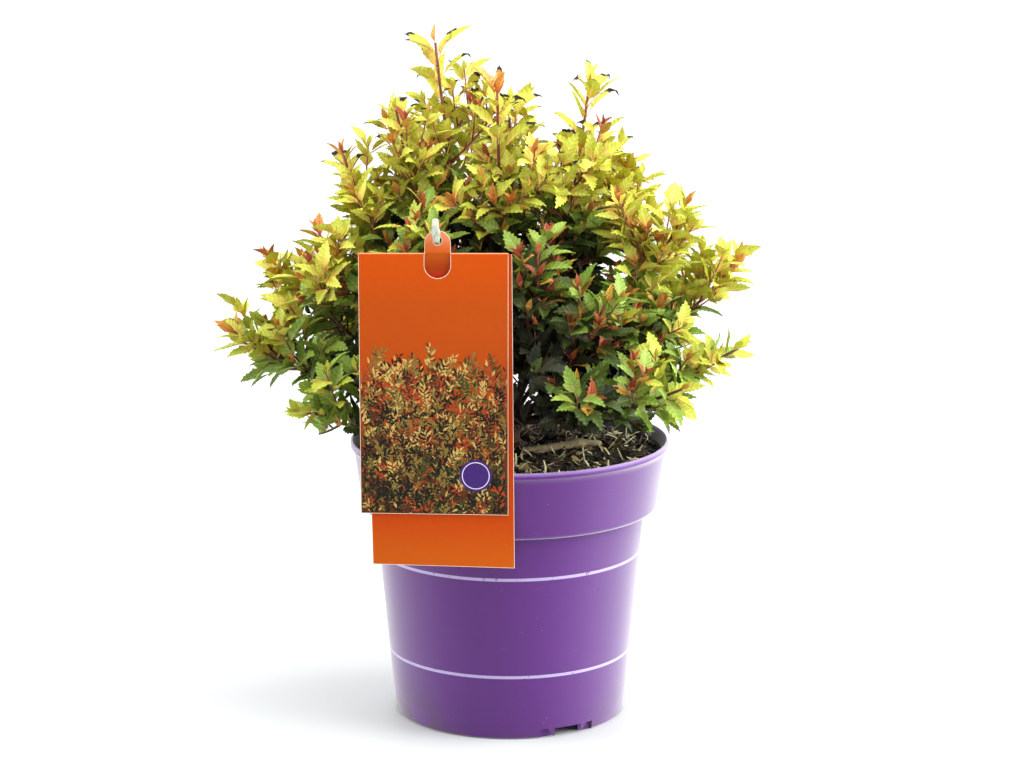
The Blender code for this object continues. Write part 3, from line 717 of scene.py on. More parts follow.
LEAF_FORMS = ("broad", "middle", "long", "young")
MARGINS = {
    "broad": (
        (0.00, 0.030), (0.05, 0.150), (0.13, 0.260), (0.24, 0.330), (0.37, 0.400), (0.46, 0.270),
        (0.53, 0.245), (0.64, 0.265), (0.76, 0.190), (0.88, 0.100), (0.95, 0.040), (1.00, 0.0),
    ),
    "middle": (
        (0.00, 0.022), (0.07, 0.120), (0.17, 0.215), (0.30, 0.285), (0.41, 0.330), (0.49, 0.225),
        (0.56, 0.200), (0.67, 0.205), (0.78, 0.135), (0.89, 0.070), (0.95, 0.028), (1.00, 0.0),
    ),
    "long": (
        (0.00, 0.018), (0.08, 0.100), (0.20, 0.175), (0.33, 0.230), (0.44, 0.240), (0.54, 0.200),
        (0.66, 0.172), (0.78, 0.118), (0.87, 0.066), (0.93, 0.034), (0.96, 0.018), (1.00, 0.0),
    ),
    "young": (
        (0.00, 0.018), (0.08, 0.100), (0.18, 0.180), (0.30, 0.238), (0.42, 0.250), (0.54, 0.205),
        (0.66, 0.165), (0.78, 0.110), (0.87, 0.062), (0.94, 0.026), (1.00, 0.0),
    ),
}
# Where each half of the blade is drawn, as shares of the way from midrib to margin
COLUMNS = {"broad": (0.55, 1.0), "middle": (0.55, 1.0), "long": (1.0,), "young": (1.0,)}
TEETH = 7
STATIONS = 2 * TEETH + 1
LEAVES_IN_PIECE = 1500
STALK_SIDES = 3
STALK_RINGS = 3


class LeafForm:
    """One form of leaf, drawn flat: midrib, mid-blade and toothed margin at each side vein and between."""

    def __init__(self, kind):
        margin = np.array(MARGINS[kind])
        reaches = COLUMNS[kind]
        share = np.linspace(0.0, 1.0, STATIONS) ** 0.93
        width = np.interp(share, margin[:, 0], margin[:, 1])
        tooth = np.where(np.arange(STATIONS) % 2 == 1, 1.0, -0.7)
        tooth[0] = 0.0
        tooth[-1] = 0.0
        edge_x = share + 0.022 * tooth
        edge_y = width + 0.027 * tooth * np.minimum(1.0, width / 0.10)
        rib_x = np.maximum(share - 0.80 * width, share * 0.55)
        last = STATIONS - 1
        columns = [(rib_x, np.zeros(STATIONS), 0.0)]
        for side in (-1, 1):
            for reach in reaches:
                x = rib_x + (edge_x - rib_x) * reach
                columns.append((x, side * edge_y * reach, side * reach))
        self.x = np.concatenate([column[0] for column in columns])
        self.y = np.concatenate([column[1] for column in columns])
        self.t = np.concatenate([np.full(STATIONS, column[2]) for column in columns])
        self.k = np.tile(np.arange(STATIONS), len(columns))
        sunk = np.where(self.k % 2 == 1, -1.0, 1.0)
        margin_rise = 0.15 if len(reaches) == 2 else 0.45
        self.pleat = sunk * np.abs(self.t) ** 0.8 * (1 + margin_rise - np.abs(self.t)) * 2.2
        self.pleat[(self.k == last) | (self.k == 0)] = 0.0
        quads = []
        ends = []
        for side, first in ((-1, 1), (1, 1 + len(reaches))):
            strips = [0, *range(first, first + len(reaches))]
            for inner, outer in zip(strips, strips[1:]):
                for k in range(last):
                    a = inner * STATIONS + k
                    b = inner * STATIONS + k + 1
                    c = outer * STATIONS + k + 1
                    d = outer * STATIONS + k
                    if k == last - 1:
                        face = (a, last, d) if side > 0 else (d, last, a)
                        ends.append(face)
                    else:
                        quads.append((a, b, c, d) if side > 0 else (d, c, b, a))
        count = len(self.x)
        quads += skin_faces(STALK_RINGS, STALK_SIDES, count)
        self.quads = np.array(quads)
        self.ends = np.array(ends)
        self.blade_count = count
        self.kept = np.ones(count, bool)
        for column in range(1, len(columns)):
            self.kept[column * STATIONS + last] = False
        self.baked = self.flat_map()

    def corner_map(self, on_blade, on_stalk):
        """A place for each face corner, from its blade point, or from its ring and side on the stalk."""
        rows = []
        for face in (*self.quads, *self.ends):
            for corner in face:
                if corner < self.blade_count:
                    rows.append(on_blade(corner))
                    continue
                ring, side = divmod(corner - self.blade_count, STALK_SIDES)
                if side == 0 and max(face) % STALK_SIDES == STALK_SIDES - 1:
                    side = STALK_SIDES
                rows.append(on_stalk(ring, side))
        return np.array(rows)

    def flat_map(self):
        """Where each corner lies in a leaf's own square of the texture."""

        def in_square(x, y):
            return (x + 0.30) / 1.36, (y + 0.46) / 0.92

        return self.corner_map(
            lambda corner: in_square(self.x[corner], self.y[corner]),
            lambda ring, side: in_square(-0.28 + 0.12 * ring, -0.09 + 0.06 * side),
        )

    def blade_map(self):
        """Each corner's station along the blade and place across it."""
        return self.corner_map(
            lambda corner: (self.k[corner] / (STATIONS - 1), self.t[corner] * 0.5 + 0.5),
            lambda ring, side: (-0.1, 0.5),
        )


def bent(angles, reach):
    """Running sums along a bending line: how far forward and how far up each step comes."""
    step = reach[1] - reach[0]
    middle = (angles[:, 1:] + angles[:, :-1]) / 2
    zero = np.zeros((len(angles), 1))
    forward = np.concatenate([zero, np.cumsum(np.cos(middle) * step, 1)], 1)
    upward = np.concatenate([zero, np.cumsum(np.sin(middle) * step, 1)], 1)
    return forward, upward


def shape_leaves(form, traits):
    """The points of many leaves of one form, each bent, folded and turned by its own traits."""
    keys = [key for key in traits[0] if key != "turned"]
    column = {key: np.array([trait[key] for trait in traits])[:, None] for key in keys}
    x = form.x[None, :]
    burnt = np.clip((x - 1.04 + 1.15 * column["scorch"]) * 5, 0.0, 1.0) * (column["scorch"] > 0)
    y = form.y[None, :] * column["width"] * (1 - 0.80 * burnt)
    t = np.abs(form.t)[None, :]
    up = np.abs(y) * np.sin(column["fold"]) - column["arch"] * y * y
    up = up + column["pleat"] * form.pleat[None, :]
    up = up + column["ruffle"] * np.sin(11 * x + column["phase"]) * t * t
    across = y * np.cos(column["fold"])
    turn = column["twist"] * x
    across, up = across * np.cos(turn) - up * np.sin(turn), across * np.sin(turn) + up * np.cos(turn)
    reach = np.linspace(0.0, 1.08, 37)
    late = np.clip(reach[None, :] - column["curl_from"], 0.0, None)
    angles = column["lift"] - column["droop"] * reach[None, :] - column["curl"] * late
    forward, upward = bent(angles, reach)
    spot = np.clip(form.x, 0.0, 1.07) / 1.08 * 36
    low = np.floor(spot).astype(int)
    part = (spot - low)[None, :]
    ahead = forward[:, low] * (1 - part) + forward[:, low + 1] * part
    above = upward[:, low] * (1 - part) + upward[:, low + 1] * part
    lean = angles[:, low] * (1 - part) + angles[:, low + 1] * part
    stalk = column["stalk"]
    points_x = stalk * np.cos(0.35) + ahead - up * np.sin(lean)
    points_z = stalk * np.sin(0.35) + above + up * np.cos(lean)
    blade = np.stack([points_x, across, points_z], 2)
    rings = []
    for ring in range(STALK_RINGS):
        share = ring / (STALK_RINGS - 1)
        centre_x = stalk * np.cos(0.35) * share
        centre_z = stalk * np.sin(0.35) * share ** 1.4
        radius = 0.017 - 0.006 * share
        for j in range(STALK_SIDES):
            angle = math.tau * j / STALK_SIDES
            ring_y = np.full_like(centre_x, radius * math.sin(angle))
            rings.append(np.stack([centre_x, ring_y, centre_z + radius * math.cos(angle)], 2)[:, 0, :])
    points = np.concatenate([blade, np.stack(rings, 1)], 1) * column["length"][:, :, None]
    turned = np.array([trait["turned"] for trait in traits])
    return np.einsum("nij,nvj->nvi", turned[:, :, :3], points) + turned[:, None, :, 3]


def leaf_mesh(name, leaves):
    """Leaves of one colour in one mesh, with a map of blade places, one of tone, and one to bake through."""
    points, groups, blade, tint, baked = [], [], [], [], []
    count = 0
    number = 0
    across = math.ceil(math.sqrt(len(leaves)))
    for kind, form in FORMS.items():
        traits = [leaf for leaf in leaves if leaf["form"] == kind]
        if not traits:
            continue
        shaped = shape_leaves(form, [trait["traits"] for trait in traits])
        kept = np.concatenate([form.kept, np.ones(STALK_SIDES * STALK_RINGS, bool)])
        renumber = np.cumsum(kept) - 1
        each = int(kept.sum())
        offsets = count + np.arange(len(traits))[:, None, None] * each
        points.append(shaped[:, kept].reshape(-1, 3))
        blade_places = form.blade_map()
        tones = np.array([(trait["tone"], trait["scorch"]) for trait in traits])
        spots = number + np.arange(len(traits))
        square = np.stack([spots % across, spots // across], 1)[:, None, :]
        split = form.quads.size
        for faces, corners in ((form.quads, slice(0, split)), (form.ends, slice(split, None))):
            places = blade_places[corners]
            groups.append((renumber[faces][None] + offsets).reshape(-1, faces.shape[1]))
            blade.append(np.tile(places, (len(traits), 1)))
            tint.append(np.repeat(tones, len(places), axis=0))
            local = form.baked[corners][None] * 0.94 + 0.03
            baked.append(((square + local) / across).reshape(-1, 2))
        count += len(traits) * each
        number += len(traits)
    maps = {"blade": np.concatenate(blade), "tint": np.concatenate(tint), "OFBake": np.concatenate(baked)}
    return build_mesh(name, np.concatenate(points), groups, maps)


FORMS = {kind: LeafForm(kind) for kind in LEAF_FORMS}


def crown_depth(place):
    """How far below the crown's skin a place lies, in metres."""
    radius = math.hypot(place.x, place.y * 1.15)
    skin = CROWN_FOOT + CROWN_HEIGHT * math.sqrt(max(0.0, 1 - (radius / CROWN_RADIUS) ** 2))
    return max(skin - place.z, 0.0)


class Shrub:
    """Grows every shoot, and notes its limbs and leaves before they are drawn."""

    def __init__(self):
        self.paths = shoot_paths()
        boughs = [path.points(0.0, path.at(BOUGH_LENGTH), 6) for path in self.paths]
        stems = [path.points(path.at(BOUGH_LENGTH), 1.0, 9) for path in self.paths]
        self.room = Room(boughs, stems)
        self.twigs = Bundle()
        self.shoots = Bundle()
        self.leaves = []

    def grow(self):
        for number, path in enumerate(self.paths):
            Shoot(self, number, path).grow()


class Shoot:
    """One shoot of the shrub, from its bough's tip up."""

    def __init__(self, shrub, number, path):
        self.shrub = shrub
        self.room = shrub.room
        self.number = number
        self.path = path
        self.start = BOUGH_LENGTH + GAP
        self.end = path.length - TUFT
        self.rng = random.Random(SEED + number)
        self.whim = random.Random(700 + number)
        self.full = OPENNESS if number in OPEN_SHOOTS else 1.0

    def grow(self):
        turn = self.rng.uniform(0, math.tau)
        distance = self.start + FIRST_NODE
        node = 0
        self.draw_stem()
        while distance < self.end:
            height = (distance - self.start) / (self.end - self.start)
            t = self.path.at(distance)
            turn += GOLDEN_ANGLE
            if node % TWIG_EVERY == 1 and height < TWIGS_END:
                self.side_twig(t, turn, height)
            else:
                self.pass_over(1)
                self.node_on_stem(t, turn, height)
            distance += NODE_SPACING
            node += 1
        top = self.path.at(self.path.length - STEM_SHORT)
        size = LEADER_LEAF if self.number in LEADERS else 1.0
        self.tip(self.path.point(top), self.path.direction(top), turn, size, self.whim.random())

    def pass_over(self, count):
        """Draws the solid's own leaf sizes, so that its twigs and these come out alike."""
        for _ in range(count):
            self.rng.uniform(0.88, 1.08)

    def draw_stem(self):
        first = self.path.at(self.start)
        last = self.path.at(self.path.length - STEM_SHORT)
        line = self.path.points(first, last, 22)
        radii = [0.0019 - 0.0010 * i / 21 for i in range(22)]
        for i in range(0, 22, 2):
            radii[i] *= 1.08
        points, groups = tube(line, radii, 8, 0.10, self.number)
        self.shrub.shoots.add(points, groups)

    def node_on_stem(self, t, turn, height):
        """A leaf on the stem and, where the shoot is bushy, a finer twig or two beside it."""
        place = self.path.point(t)
        along = self.path.direction(t)
        angle = math.radians(ANGLE_LOW + (ANGLE_HIGH - ANGLE_LOW) * height)
        bushy = height < (LEADER_BUSHY if self.number in LEADERS else BUSHY)
        if bushy and self.whim.random() < 0.85 * self.full:
            self.spur(place, along, turn + 0.2, angle - 0.30 * height, 1.0 + 0.3 * height)
        if bushy and self.whim.random() < 0.35 * self.full:
            self.spur(place, along, turn + 2.2, angle - 0.2 * height, 0.8)
        size = STEM_LEAF - 0.004 * abs(height - 0.5)
        if self.number in LEADERS and not bushy:
            size *= LEADER_LEAF
        self.leaf(place, along, turn, angle, size, 0.5 * height, self.whim.random())

    def side_twig(self, t, turn, height):
        """A side twig where the solid has one, or one leaf where there is no room for it."""
        along = self.path.direction(t)
        first, second = sides_of(along)
        outward = first * math.cos(turn) + second * math.sin(turn)
        angle = math.radians(ANGLE_LOW - 10 * height)
        heading = along * math.cos(angle) + outward * math.sin(angle)
        length = TWIG_LENGTH * (1 - TWIG_TAPER * height) * self.rng.uniform(0.85, 1.15)
        root = self.path.point(t)
        tip = root + heading * length
        tip.z += TWIG_RISE * length
        twig = Path(root, root + heading * (length / 2), tip)
        if not self.room.holds(twig.points(0.4, 1.0, 4), self.number):
            self.pass_over(1)
            self.leaf(root, along, turn, math.radians(ANGLE_LOW), LONE_LEAF, 0.3, self.whim.random())
            return
        count = round(length / TWIG_LEAF_SPACING)
        self.pass_over(count + 2)
        tone = self.whim.random()
        reach = 0.0
        for i in range(1, count):
            turn += GOLDEN_ANGLE
            place = i / count
            angle = math.radians(ANGLE_LOW - 14 * place)
            if place < 0.85 and self.whim.random() < 0.90 * self.full:
                if self.spur(twig.point(place), twig.direction(place), turn, angle - 0.2, 0.9):
                    reach = place
            size = TWIG_LEAF - 0.003 * place
            if self.leaf(twig.point(place), twig.direction(place), turn, angle, size, 0.6 * place, tone):
                reach = place
        if self.tip(twig.point(0.95), twig.direction(1.0), turn, 0.86, tone):
            reach = 0.96
        if reach:
            line = twig.points(0.0, reach, 7)
            points, groups = tube(line, fair(0.0012, 0.0007, 7), 6, 0.06, self.number + t)
            self.shrub.twigs.add(points, groups)

    def spur(self, root, along, turn, angle, size):
        """A finer twig, about as long as a leaf, with a few leaves of its own."""
        first, second = sides_of(along)
        outward = first * math.cos(turn) + second * math.sin(turn)
        heading = (along * math.cos(angle) + outward * math.sin(angle) + Vector((0, 0, 0.40))).normalized()
        length = self.whim.uniform(*SPUR_LENGTHS) * size
        tip = root + heading * length
        tip.z += 0.30 * length
        twig = Path(root, root + heading * (length / 2), tip)
        if not self.room.holds(twig.points(0.5, 1.0, 3), None):
            return 0.0
        tone = self.whim.random()
        reach = 0.0
        count = round(length / SPUR_LEAF_SPACING)
        for i in range(1, count):
            turn += GOLDEN_ANGLE
            place = 0.2 + 0.8 * i / count
            root, along = twig.point(place), twig.direction(place)
            if self.leaf(root, along, turn, SPUR_LEAF_ANGLE, SPUR_LEAF, 0.45, tone):
                reach = place
        if self.tip(twig.point(0.96), twig.direction(1.0), turn, 0.80, tone):
            reach = 0.97
        if reach:
            points, groups = tube(twig.points(0.0, reach, 4), fair(0.0007, 0.0005, 4), 5)
            self.shrub.twigs.add(points, groups)
        return reach

    def tip(self, root, along, turn, size, tone):
        """The last leaves of a twig: two folded young ones in line with it, then wider ones below."""
        grown = False
        for i, (angle, length, young) in enumerate(TIP_LEAVES):
            turn += GOLDEN_ANGLE
            place = root - along * (0.0011 * i * i)
            angle = math.radians(angle + self.whim.uniform(-4, 4))
            if self.leaf(place, along, turn, angle, length * size, young, tone):
                grown = True
        return grown

    def leaf_axes(self, root, along, turn, angle, youth):
        """Along the blade, across it and square to it: the blade faces the light, and rolls a little."""
        first, second = sides_of(along)
        outward = first * math.cos(turn) + second * math.sin(turn)
        angle += math.radians(self.whim.uniform(-8, 8))
        blade = along * math.cos(angle) + outward * math.sin(angle)
        blade.z += 0.14
        blade.normalize()
        side = along.cross(outward)
        upper = blade.cross(side)
        light = Vector((root.x, root.y, 0.0))
        light = light.normalized() * 0.55 if light.length > 0.01 else light
        light.z = 0.85
        share = 0.15 if youth > 0.8 else 0.42
        upper = (upper * (1 - share) + light * share)
        upper = (upper - blade * upper.dot(blade)).normalized()
        roll = math.radians(self.whim.uniform(-22, 22))
        side = upper.cross(blade)
        cos, sin = math.cos(roll), math.sin(roll)
        return blade, side * cos + upper * sin, upper * cos - side * sin

    def leaf_form(self, height, youth):
        if youth > 0.9:
            return "young"
        if height < 0.30 and youth < 0.65 and self.whim.random() < 0.55:
            return "broad"
        if youth > 0.55 or (height > 0.36 and self.whim.random() < 0.6):
            return "long"
        return "middle"

    def leaf_scorch(self, root, youth):
        """How much of a leaf's end is burnt, 0 to 1: high and bare leaves, the leaders' most often."""
        often = 0.62 if self.number in LEADERS else 0.34
        exposed = root.z > 0.385 and crown_depth(root) < 0.09
        if not (exposed and youth < 0.9 and self.whim.random() < often):
            return 0.0
        scorch = self.whim.uniform(0.08, 0.36)
        return 1.0 if self.whim.random() < 0.15 else scorch

    def leaf_traits(self, height, youth, scorch):
        """How a leaf folds, bends and curls. Lengths are shares of the blade's."""
        uniform = self.whim.uniform
        young = youth > 0.8
        shrivelled = scorch == 1.0
        curl = 3.5 if shrivelled else min(0.25 + 22.0 * scorch, 6.0)
        slack = (-0.10, 0.30) if youth > 0.6 else (0.0, 0.62 - 0.6 * (height - 0.2))
        return {
            "width": uniform(0.90, 1.12) * (0.40 if shrivelled else 1.0),
            "fold": uniform(0.30, 0.62) + (0.16 if young else 0.0) + 0.4 * scorch,
            "arch": uniform(0.2, 0.9),
            "pleat": uniform(0.012, 0.021),
            "ruffle": uniform(0.0, 0.016),
            "scorch": scorch,
            "phase": uniform(0, math.tau),
            "twist": uniform(-0.35, 0.35),
            "lift": 0.0 if young else uniform(-0.15, 0.25),
            "droop": uniform(*slack),
            "curl": curl * uniform(0.5, 1.5),
            "curl_from": uniform(0.55, 0.75) if scorch == 0.0 else 0.98 - 0.9 * scorch,
            "stalk": 0.08 if young else uniform(0.20, 0.34),
        }

    def leaf(self, root, along, turn, angle, length, youth, tone):
        """Notes one leaf if there is room for it, and says whether there was."""
        whim = self.whim
        length *= LEAF_SCALE * whim.uniform(0.82, 1.14)
        blade, side, upper = self.leaf_axes(root, along, turn, angle, youth)
        form = self.leaf_form(root.z, youth)
        scorch = self.leaf_scorch(root, youth)
        traits = self.leaf_traits(root.z, youth, scorch)
        traits["length"] = length * (0.62 if scorch == 1.0 else 1.0)
        traits["turned"] = np.array([*zip(blade, side, upper, root)])
        samples = []
        for reach, wide in ((0.45, 0.0), (0.7, 0.22), (0.7, -0.22), (1.0, 0.0), (1.22, 0.0)):
            drop = traits["droop"] * reach * reach * 0.35
            samples.append(root + (blade * reach + side * wide - upper * drop) * length)
        if not self.room.open_to(samples, 0.0007 if youth > 0.6 else 0.0013):
            return False
        self.room.take(samples)
        below = self.path.guides[-1].z - root.z
        self.shrub.leaves.append({
            "form": form,
            "traits": traits,
            "tone": whim.random(),
            "whim": whim.random(),
            "scorch": scorch,
            "root": root,
            "middle": root + blade * (0.7 * length),
            "youth": youth,
            "spray": tone,
            "shoot": self.number,
            # Leaves far below their shoot's tip count as less sunned, which darkens their colours: painted
            # shade.
            "sun": SHOOT_SUN[self.number] - min(max(3.0 * (below - 0.05), 0.0), 0.30),
        })
        return True


def leaf_colour(leaf, shaded):
    """The colour that a spray's tone, a leaf's age and the light and shade at its place in the crown give
    it: that light and shade are painted into the colour.
    """
    youth, spray, sun = leaf["youth"], leaf["spray"], leaf["sun"]
    high = (leaf["root"].z - 0.21) / 0.29
    warm = (0.50 - 0.26 * high) * min(max((leaf["root"].z - 0.225) / 0.07, 0.12), 1.0)
    if leaf["shoot"] in WARM_SHOOTS:
        warm *= 1.8
    # Leaves deep in the crown get the near-black green: painted shade.
    if shaded > 170 + 160 * sun:
        return "dark_green"
    if youth > 0.8 and spray < warm * 0.45:
        return "rust"
    # Young leaves of shaded shoots get the darker rust instead of orange: painted shade.
    if youth > 0.8 and spray < warm * (1.0 if youth > 0.9 else 0.75):
        return "orange" if sun > -0.2 else "rust"
    if youth > 0.65 and spray < warm * (1.5 if youth > 0.9 else 0.8):
        return "bronze"
    if youth > 0.55 and spray < warm * 0.35:
        return "bronze"
    # Leaves high and open in the crown, and on the right where the side lamp falls, get paler greens: partly
    # the sun leaves' own colour, partly painted light.
    light = 0.72 * min(high, 0.75) + (0.34 + 0.30 * min(high, 0.7)) * math.exp(-shaded / 45.0)
    light += 0.12 * youth + sun + 0.24 * (leaf["whim"] - 0.5) + 0.26 * (spray - 0.5) + 0.30 * leaf["root"].x
    # The least lit leaves get the near-black green too: painted shade.
    if light < -0.02:
        return "dark_green"
    # Covered and dimly lit leaves get the deep green: their own darker colour, with painted shade.
    if shaded > 100 + 50 * leaf["whim"] + 120 * sun or light < 0.26:
        return "deep_green"
    if light > 0.80:
        return "lime"
    if light > 0.56:
        return "yellow_green"
    return "mid_green"


def deal_colours(leaves):
    """Sorts the leaves by colour, from how many others stand between each and the light: that shade is
    painted into their colours.
    """
    middles = np.array([leaf["middle"] for leaf in leaves])
    dealt = {}
    for leaf, middle in zip(leaves, middles):
        light = Vector((middle[0], middle[1], 0.0)) * 3.0
        light.z = 1.0
        light.normalize()
        offsets = middles - middle
        far = np.linalg.norm(offsets, axis=1)
        towards = offsets @ np.array(light)
        between = (far > 0.002) & (far < 0.09) & (towards > 0.80 * far)
        shaded = between.sum() * 6000 / len(leaves)
        dealt.setdefault(leaf_colour(leaf, shaded), []).append(leaf)
    return dealt


# Each row: blade, its other tone, veins, and the flush at its foot with that flush's strength
# The greens run from lit to shaded leaves: partly the leaves' own colours, partly painted light and painted
# shade, down to the near-black green of deep shade.
LEAF_COLOURS = {
    "lime": ((196, 206, 58), (218, 218, 84), (230, 216, 128), (224, 134, 70), 0.74),
    "yellow_green": ((168, 184, 50), (196, 198, 70), (208, 202, 110), (206, 118, 60), 0.62),
    "mid_green": ((110, 148, 46), (148, 172, 62), (172, 184, 102), (158, 112, 56), 0.48),
    "deep_green": ((50, 68, 22), (74, 94, 32), (104, 118, 60), (90, 62, 34), 0.44),
    "dark_green": ((23, 28, 10), (36, 42, 15), (56, 60, 27), (58, 34, 20), 0.5),
    "orange": ((208, 136, 58), (222, 164, 80), (190, 84, 50), (198, 72, 40), 0.85),
    "rust": ((164, 78, 44), (186, 108, 60), (136, 48, 36), (162, 42, 30), 0.9),
    "bronze": ((190, 156, 52), (206, 160, 66), (182, 98, 54), (194, 82, 44), 0.85),
}
SCORCHED = (46, 32, 38)


def leaf_finish(name, body, second, rib, flush, flushed):
    finish = Finish(name, 0.46, Specular_IOR_Level=0.30)
    along, across = finish.map_axes("blade")
    tone, scorch = finish.map_axes("tint")
    edge = abs(across * 2 - 1)
    ridge = finish.node("Math", {"operation": "PINGPONG"}, {0: along * (STATIONS - 1), 1: 1.0})
    vein = ridge.rise(0.66, 0.98) * (1 - edge * 0.5)
    painted_furrow_shade = (1 - ridge.rise(0.0, 0.42)) * edge.rise(0.1, 0.5)
    midrib = 1 - edge.rise(0.02, 0.16)
    blotch = finish.noise(170.0, 3.0)
    fine = finish.noise(900.0, 2.0)
    colour = finish.blend(tone * 0.85 + blotch * 0.15, body, second)
    colour = finish.blend(blotch.rise(0.42, 0.72) * 0.35, colour, tuple(v * 0.72 for v in body))
    heart = (1 - along + blotch * 0.3).rise(0.55, 1.15) * (1 - edge * 0.45)
    colour = finish.blend(heart * flushed, colour, flush)
    # Darkens the furrows between the side veins: painted shade.
    colour = finish.blend(painted_furrow_shade * 0.30, colour, tuple(v * 0.70 for v in body))
    colour = finish.blend((vein * 0.42 + midrib * 0.62).clamp(), colour, rib)
    burnt = (along + edge * 0.16 + blotch * 0.16 + scorch * 1.15 - 1.16) * scorch.rise(0.02, 0.10) * 16
    colour = finish.blend(burnt.clamp(), colour, SCORCHED)
    finish.feed("Base Color", colour)
    finish.feed("Roughness", 0.46 + blotch * 0.16 + burnt.clamp() * 0.25)
    finish.relief(ridge * -0.6 + fine * 0.4 - midrib * 0.4, 0.00035, 0.8)
    return finish


def make_foliage():
    shrub = Shrub()
    shrub.grow()
    nodes = [f"foliage_{i + 1:02d}" for i in range(len(SHOOTS))]
    bark = shoot_finish("shoot_bark", (134, 62, 44), (170, 106, 68), (88, 40, 32), (60, 42, 32))
    green_wood = shoot_finish("twig_bark", (148, 78, 52), (170, 136, 76), (102, 50, 38), (86, 62, 42))
    place_piece("shoots", shrub.shoots.mesh("shoots"), [bark], nodes)
    place_piece("twigs", shrub.twigs.mesh("twigs"), [green_wood])
    for colour, leaves in sorted(deal_colours(shrub.leaves).items()):
        finish = leaf_finish("leaf_" + colour, *LEAF_COLOURS[colour])
        parts = math.ceil(len(leaves) / LEAVES_IN_PIECE)
        for part in range(parts):
            name = f"leaves_{colour}_{part + 1}"
            place_piece(name, leaf_mesh(name, leaves[part::parts]), [finish])


def shoot_finish(name, body, pale, dark, old_and_shaded):
    finish = Finish(name, 0.6)
    streak = finish.noise(420.0, 3.0, (1.0, 1.0, 0.25))
    spot = finish.noise(1500.0, 1.0)
    colour = finish.blend(streak.rise(0.35, 0.7), body, dark)
    colour = finish.blend(spot.rise(0.60, 0.70) * 0.7, colour, pale)
    _, _, z = finish.axes()
    # Darker towards the foot of the shoots, deep in the crown: older bark, and painted shade.
    colour = finish.blend(z.rise(0.225, 0.310), old_and_shaded, colour)
    finish.feed("Base Color", colour)
    finish.feed("Roughness", 0.45 + streak * 0.3)
    finish.relief(streak + spot * 0.3, 0.0003)
    return finish


def bark_finish():
    finish = Finish("old_bark", 0.85)
    strip = finish.noise(260.0, 4.0, (1.0, 1.0, 0.16))
    crack = finish.cells(240.0, "DISTANCE_TO_EDGE", (1.0, 1.0, 0.2))
    colour = finish.blend(strip.rise(0.35, 0.68), (74, 50, 38), (132, 98, 70))
    colour = finish.blend(1 - crack.rise(0.0, 0.12), colour, (34, 24, 20))
    finish.feed("Base Color", colour)
    finish.feed("Roughness", 0.75 + strip * 0.2)
    finish.relief(strip + crack.rise(0.0, 0.2) * 0.8, 0.0006)
    return finish


def make_limbs():
    """The boughs and the stem base, with the bark's relief."""
    bark = bark_finish()
    young = shoot_finish("bough_bark", (98, 52, 40), (140, 100, 72), (58, 34, 28), (54, 38, 30))
    boughs = Bundle()
    for number, path in enumerate(shoot_paths()):
        line = path.points(0.0, path.at(BOUGH_LENGTH - GAP), 16)
        radii = fair(0.00185, 0.00155, 16)
        points, groups = tube(line, radii, 10, 0.16, 5.0 + number)
        boughs.add(points, groups)
    names = [f"bough_{i + 1:02d}" for i in range(len(SHOOTS))]
    place_piece("boughs", boughs.mesh("boughs"), [young], names)
    steps, rings = 56, 34
    height = KNUCKLE.z + KNUCKLE_RADIUS - STEM_FOOT
    points = []
    for i in range(rings):
        share = i / rings
        z = STEM_FOOT + height * share
        if z < STEM_FOOT + FLARE_HEIGHT:
            part = (z - STEM_FOOT) / FLARE_HEIGHT
            radius = WAIST_RADIUS + (FLARE_RADIUS - WAIST_RADIUS) * (1 - part) ** 2
        else:
            ball = math.sqrt(max(KNUCKLE_RADIUS**2 - (z - KNUCKLE.z) ** 2, 0.0))
            radius = max(ball, WAIST_RADIUS if z < KNUCKLE.z else 0.0)
        for j in range(steps):
            angle = math.tau * j / steps
            out = Vector((math.cos(angle), math.sin(angle), 0.0))
            strip = noise.noise(Vector((out.x * 5, out.y * 5, z * 60)))
            lump = noise.noise(Vector((out.x * 1.6 + 9, out.y * 1.6, z * 90)))
            spot = out * radius * (1 - 0.05 + 0.07 * strip + 0.06 * lump)
            spot.z = z
            points.append(tuple(spot))
    crown = len(points)
    points.append((0.0, 0.0, STEM_FOOT + height))
    last = (rings - 1) * steps
    cap = [(last + j, last + (j + 1) % steps, crown) for j in range(steps)]
    skin = [skin_faces(rings, steps), end_faces(rings, steps)[:1], cap]
    mesh = build_mesh("stem_base_bark", points, skin)
    place_piece("stem_base_bark", mesh, [bark], ["stem_base"])


def turned_object(name, profile, steps):
    """A profile of (radius, height) points turned about the Z axis."""
    mesh = bpy.data.meshes.new(name)
    vertices = [(radius, 0.0, height) for radius, height in profile]
    mesh.from_pydata(vertices, [(i, i + 1) for i in range(len(profile) - 1)], [])
    ob = add_object(name, mesh)
    screw = ob.modifiers.new("turn", "SCREW")
    screw.axis = "Z"
    screw.steps = steps
    screw.render_steps = steps
    screw.use_merge_vertices = True
    screw.merge_threshold = MERGE
    return ob


def pot_outer_radius(height):
    return FOOT_RADIUS + (BODY_TOP_RADIUS - FOOT_RADIUS) * height / BAND_BOTTOM


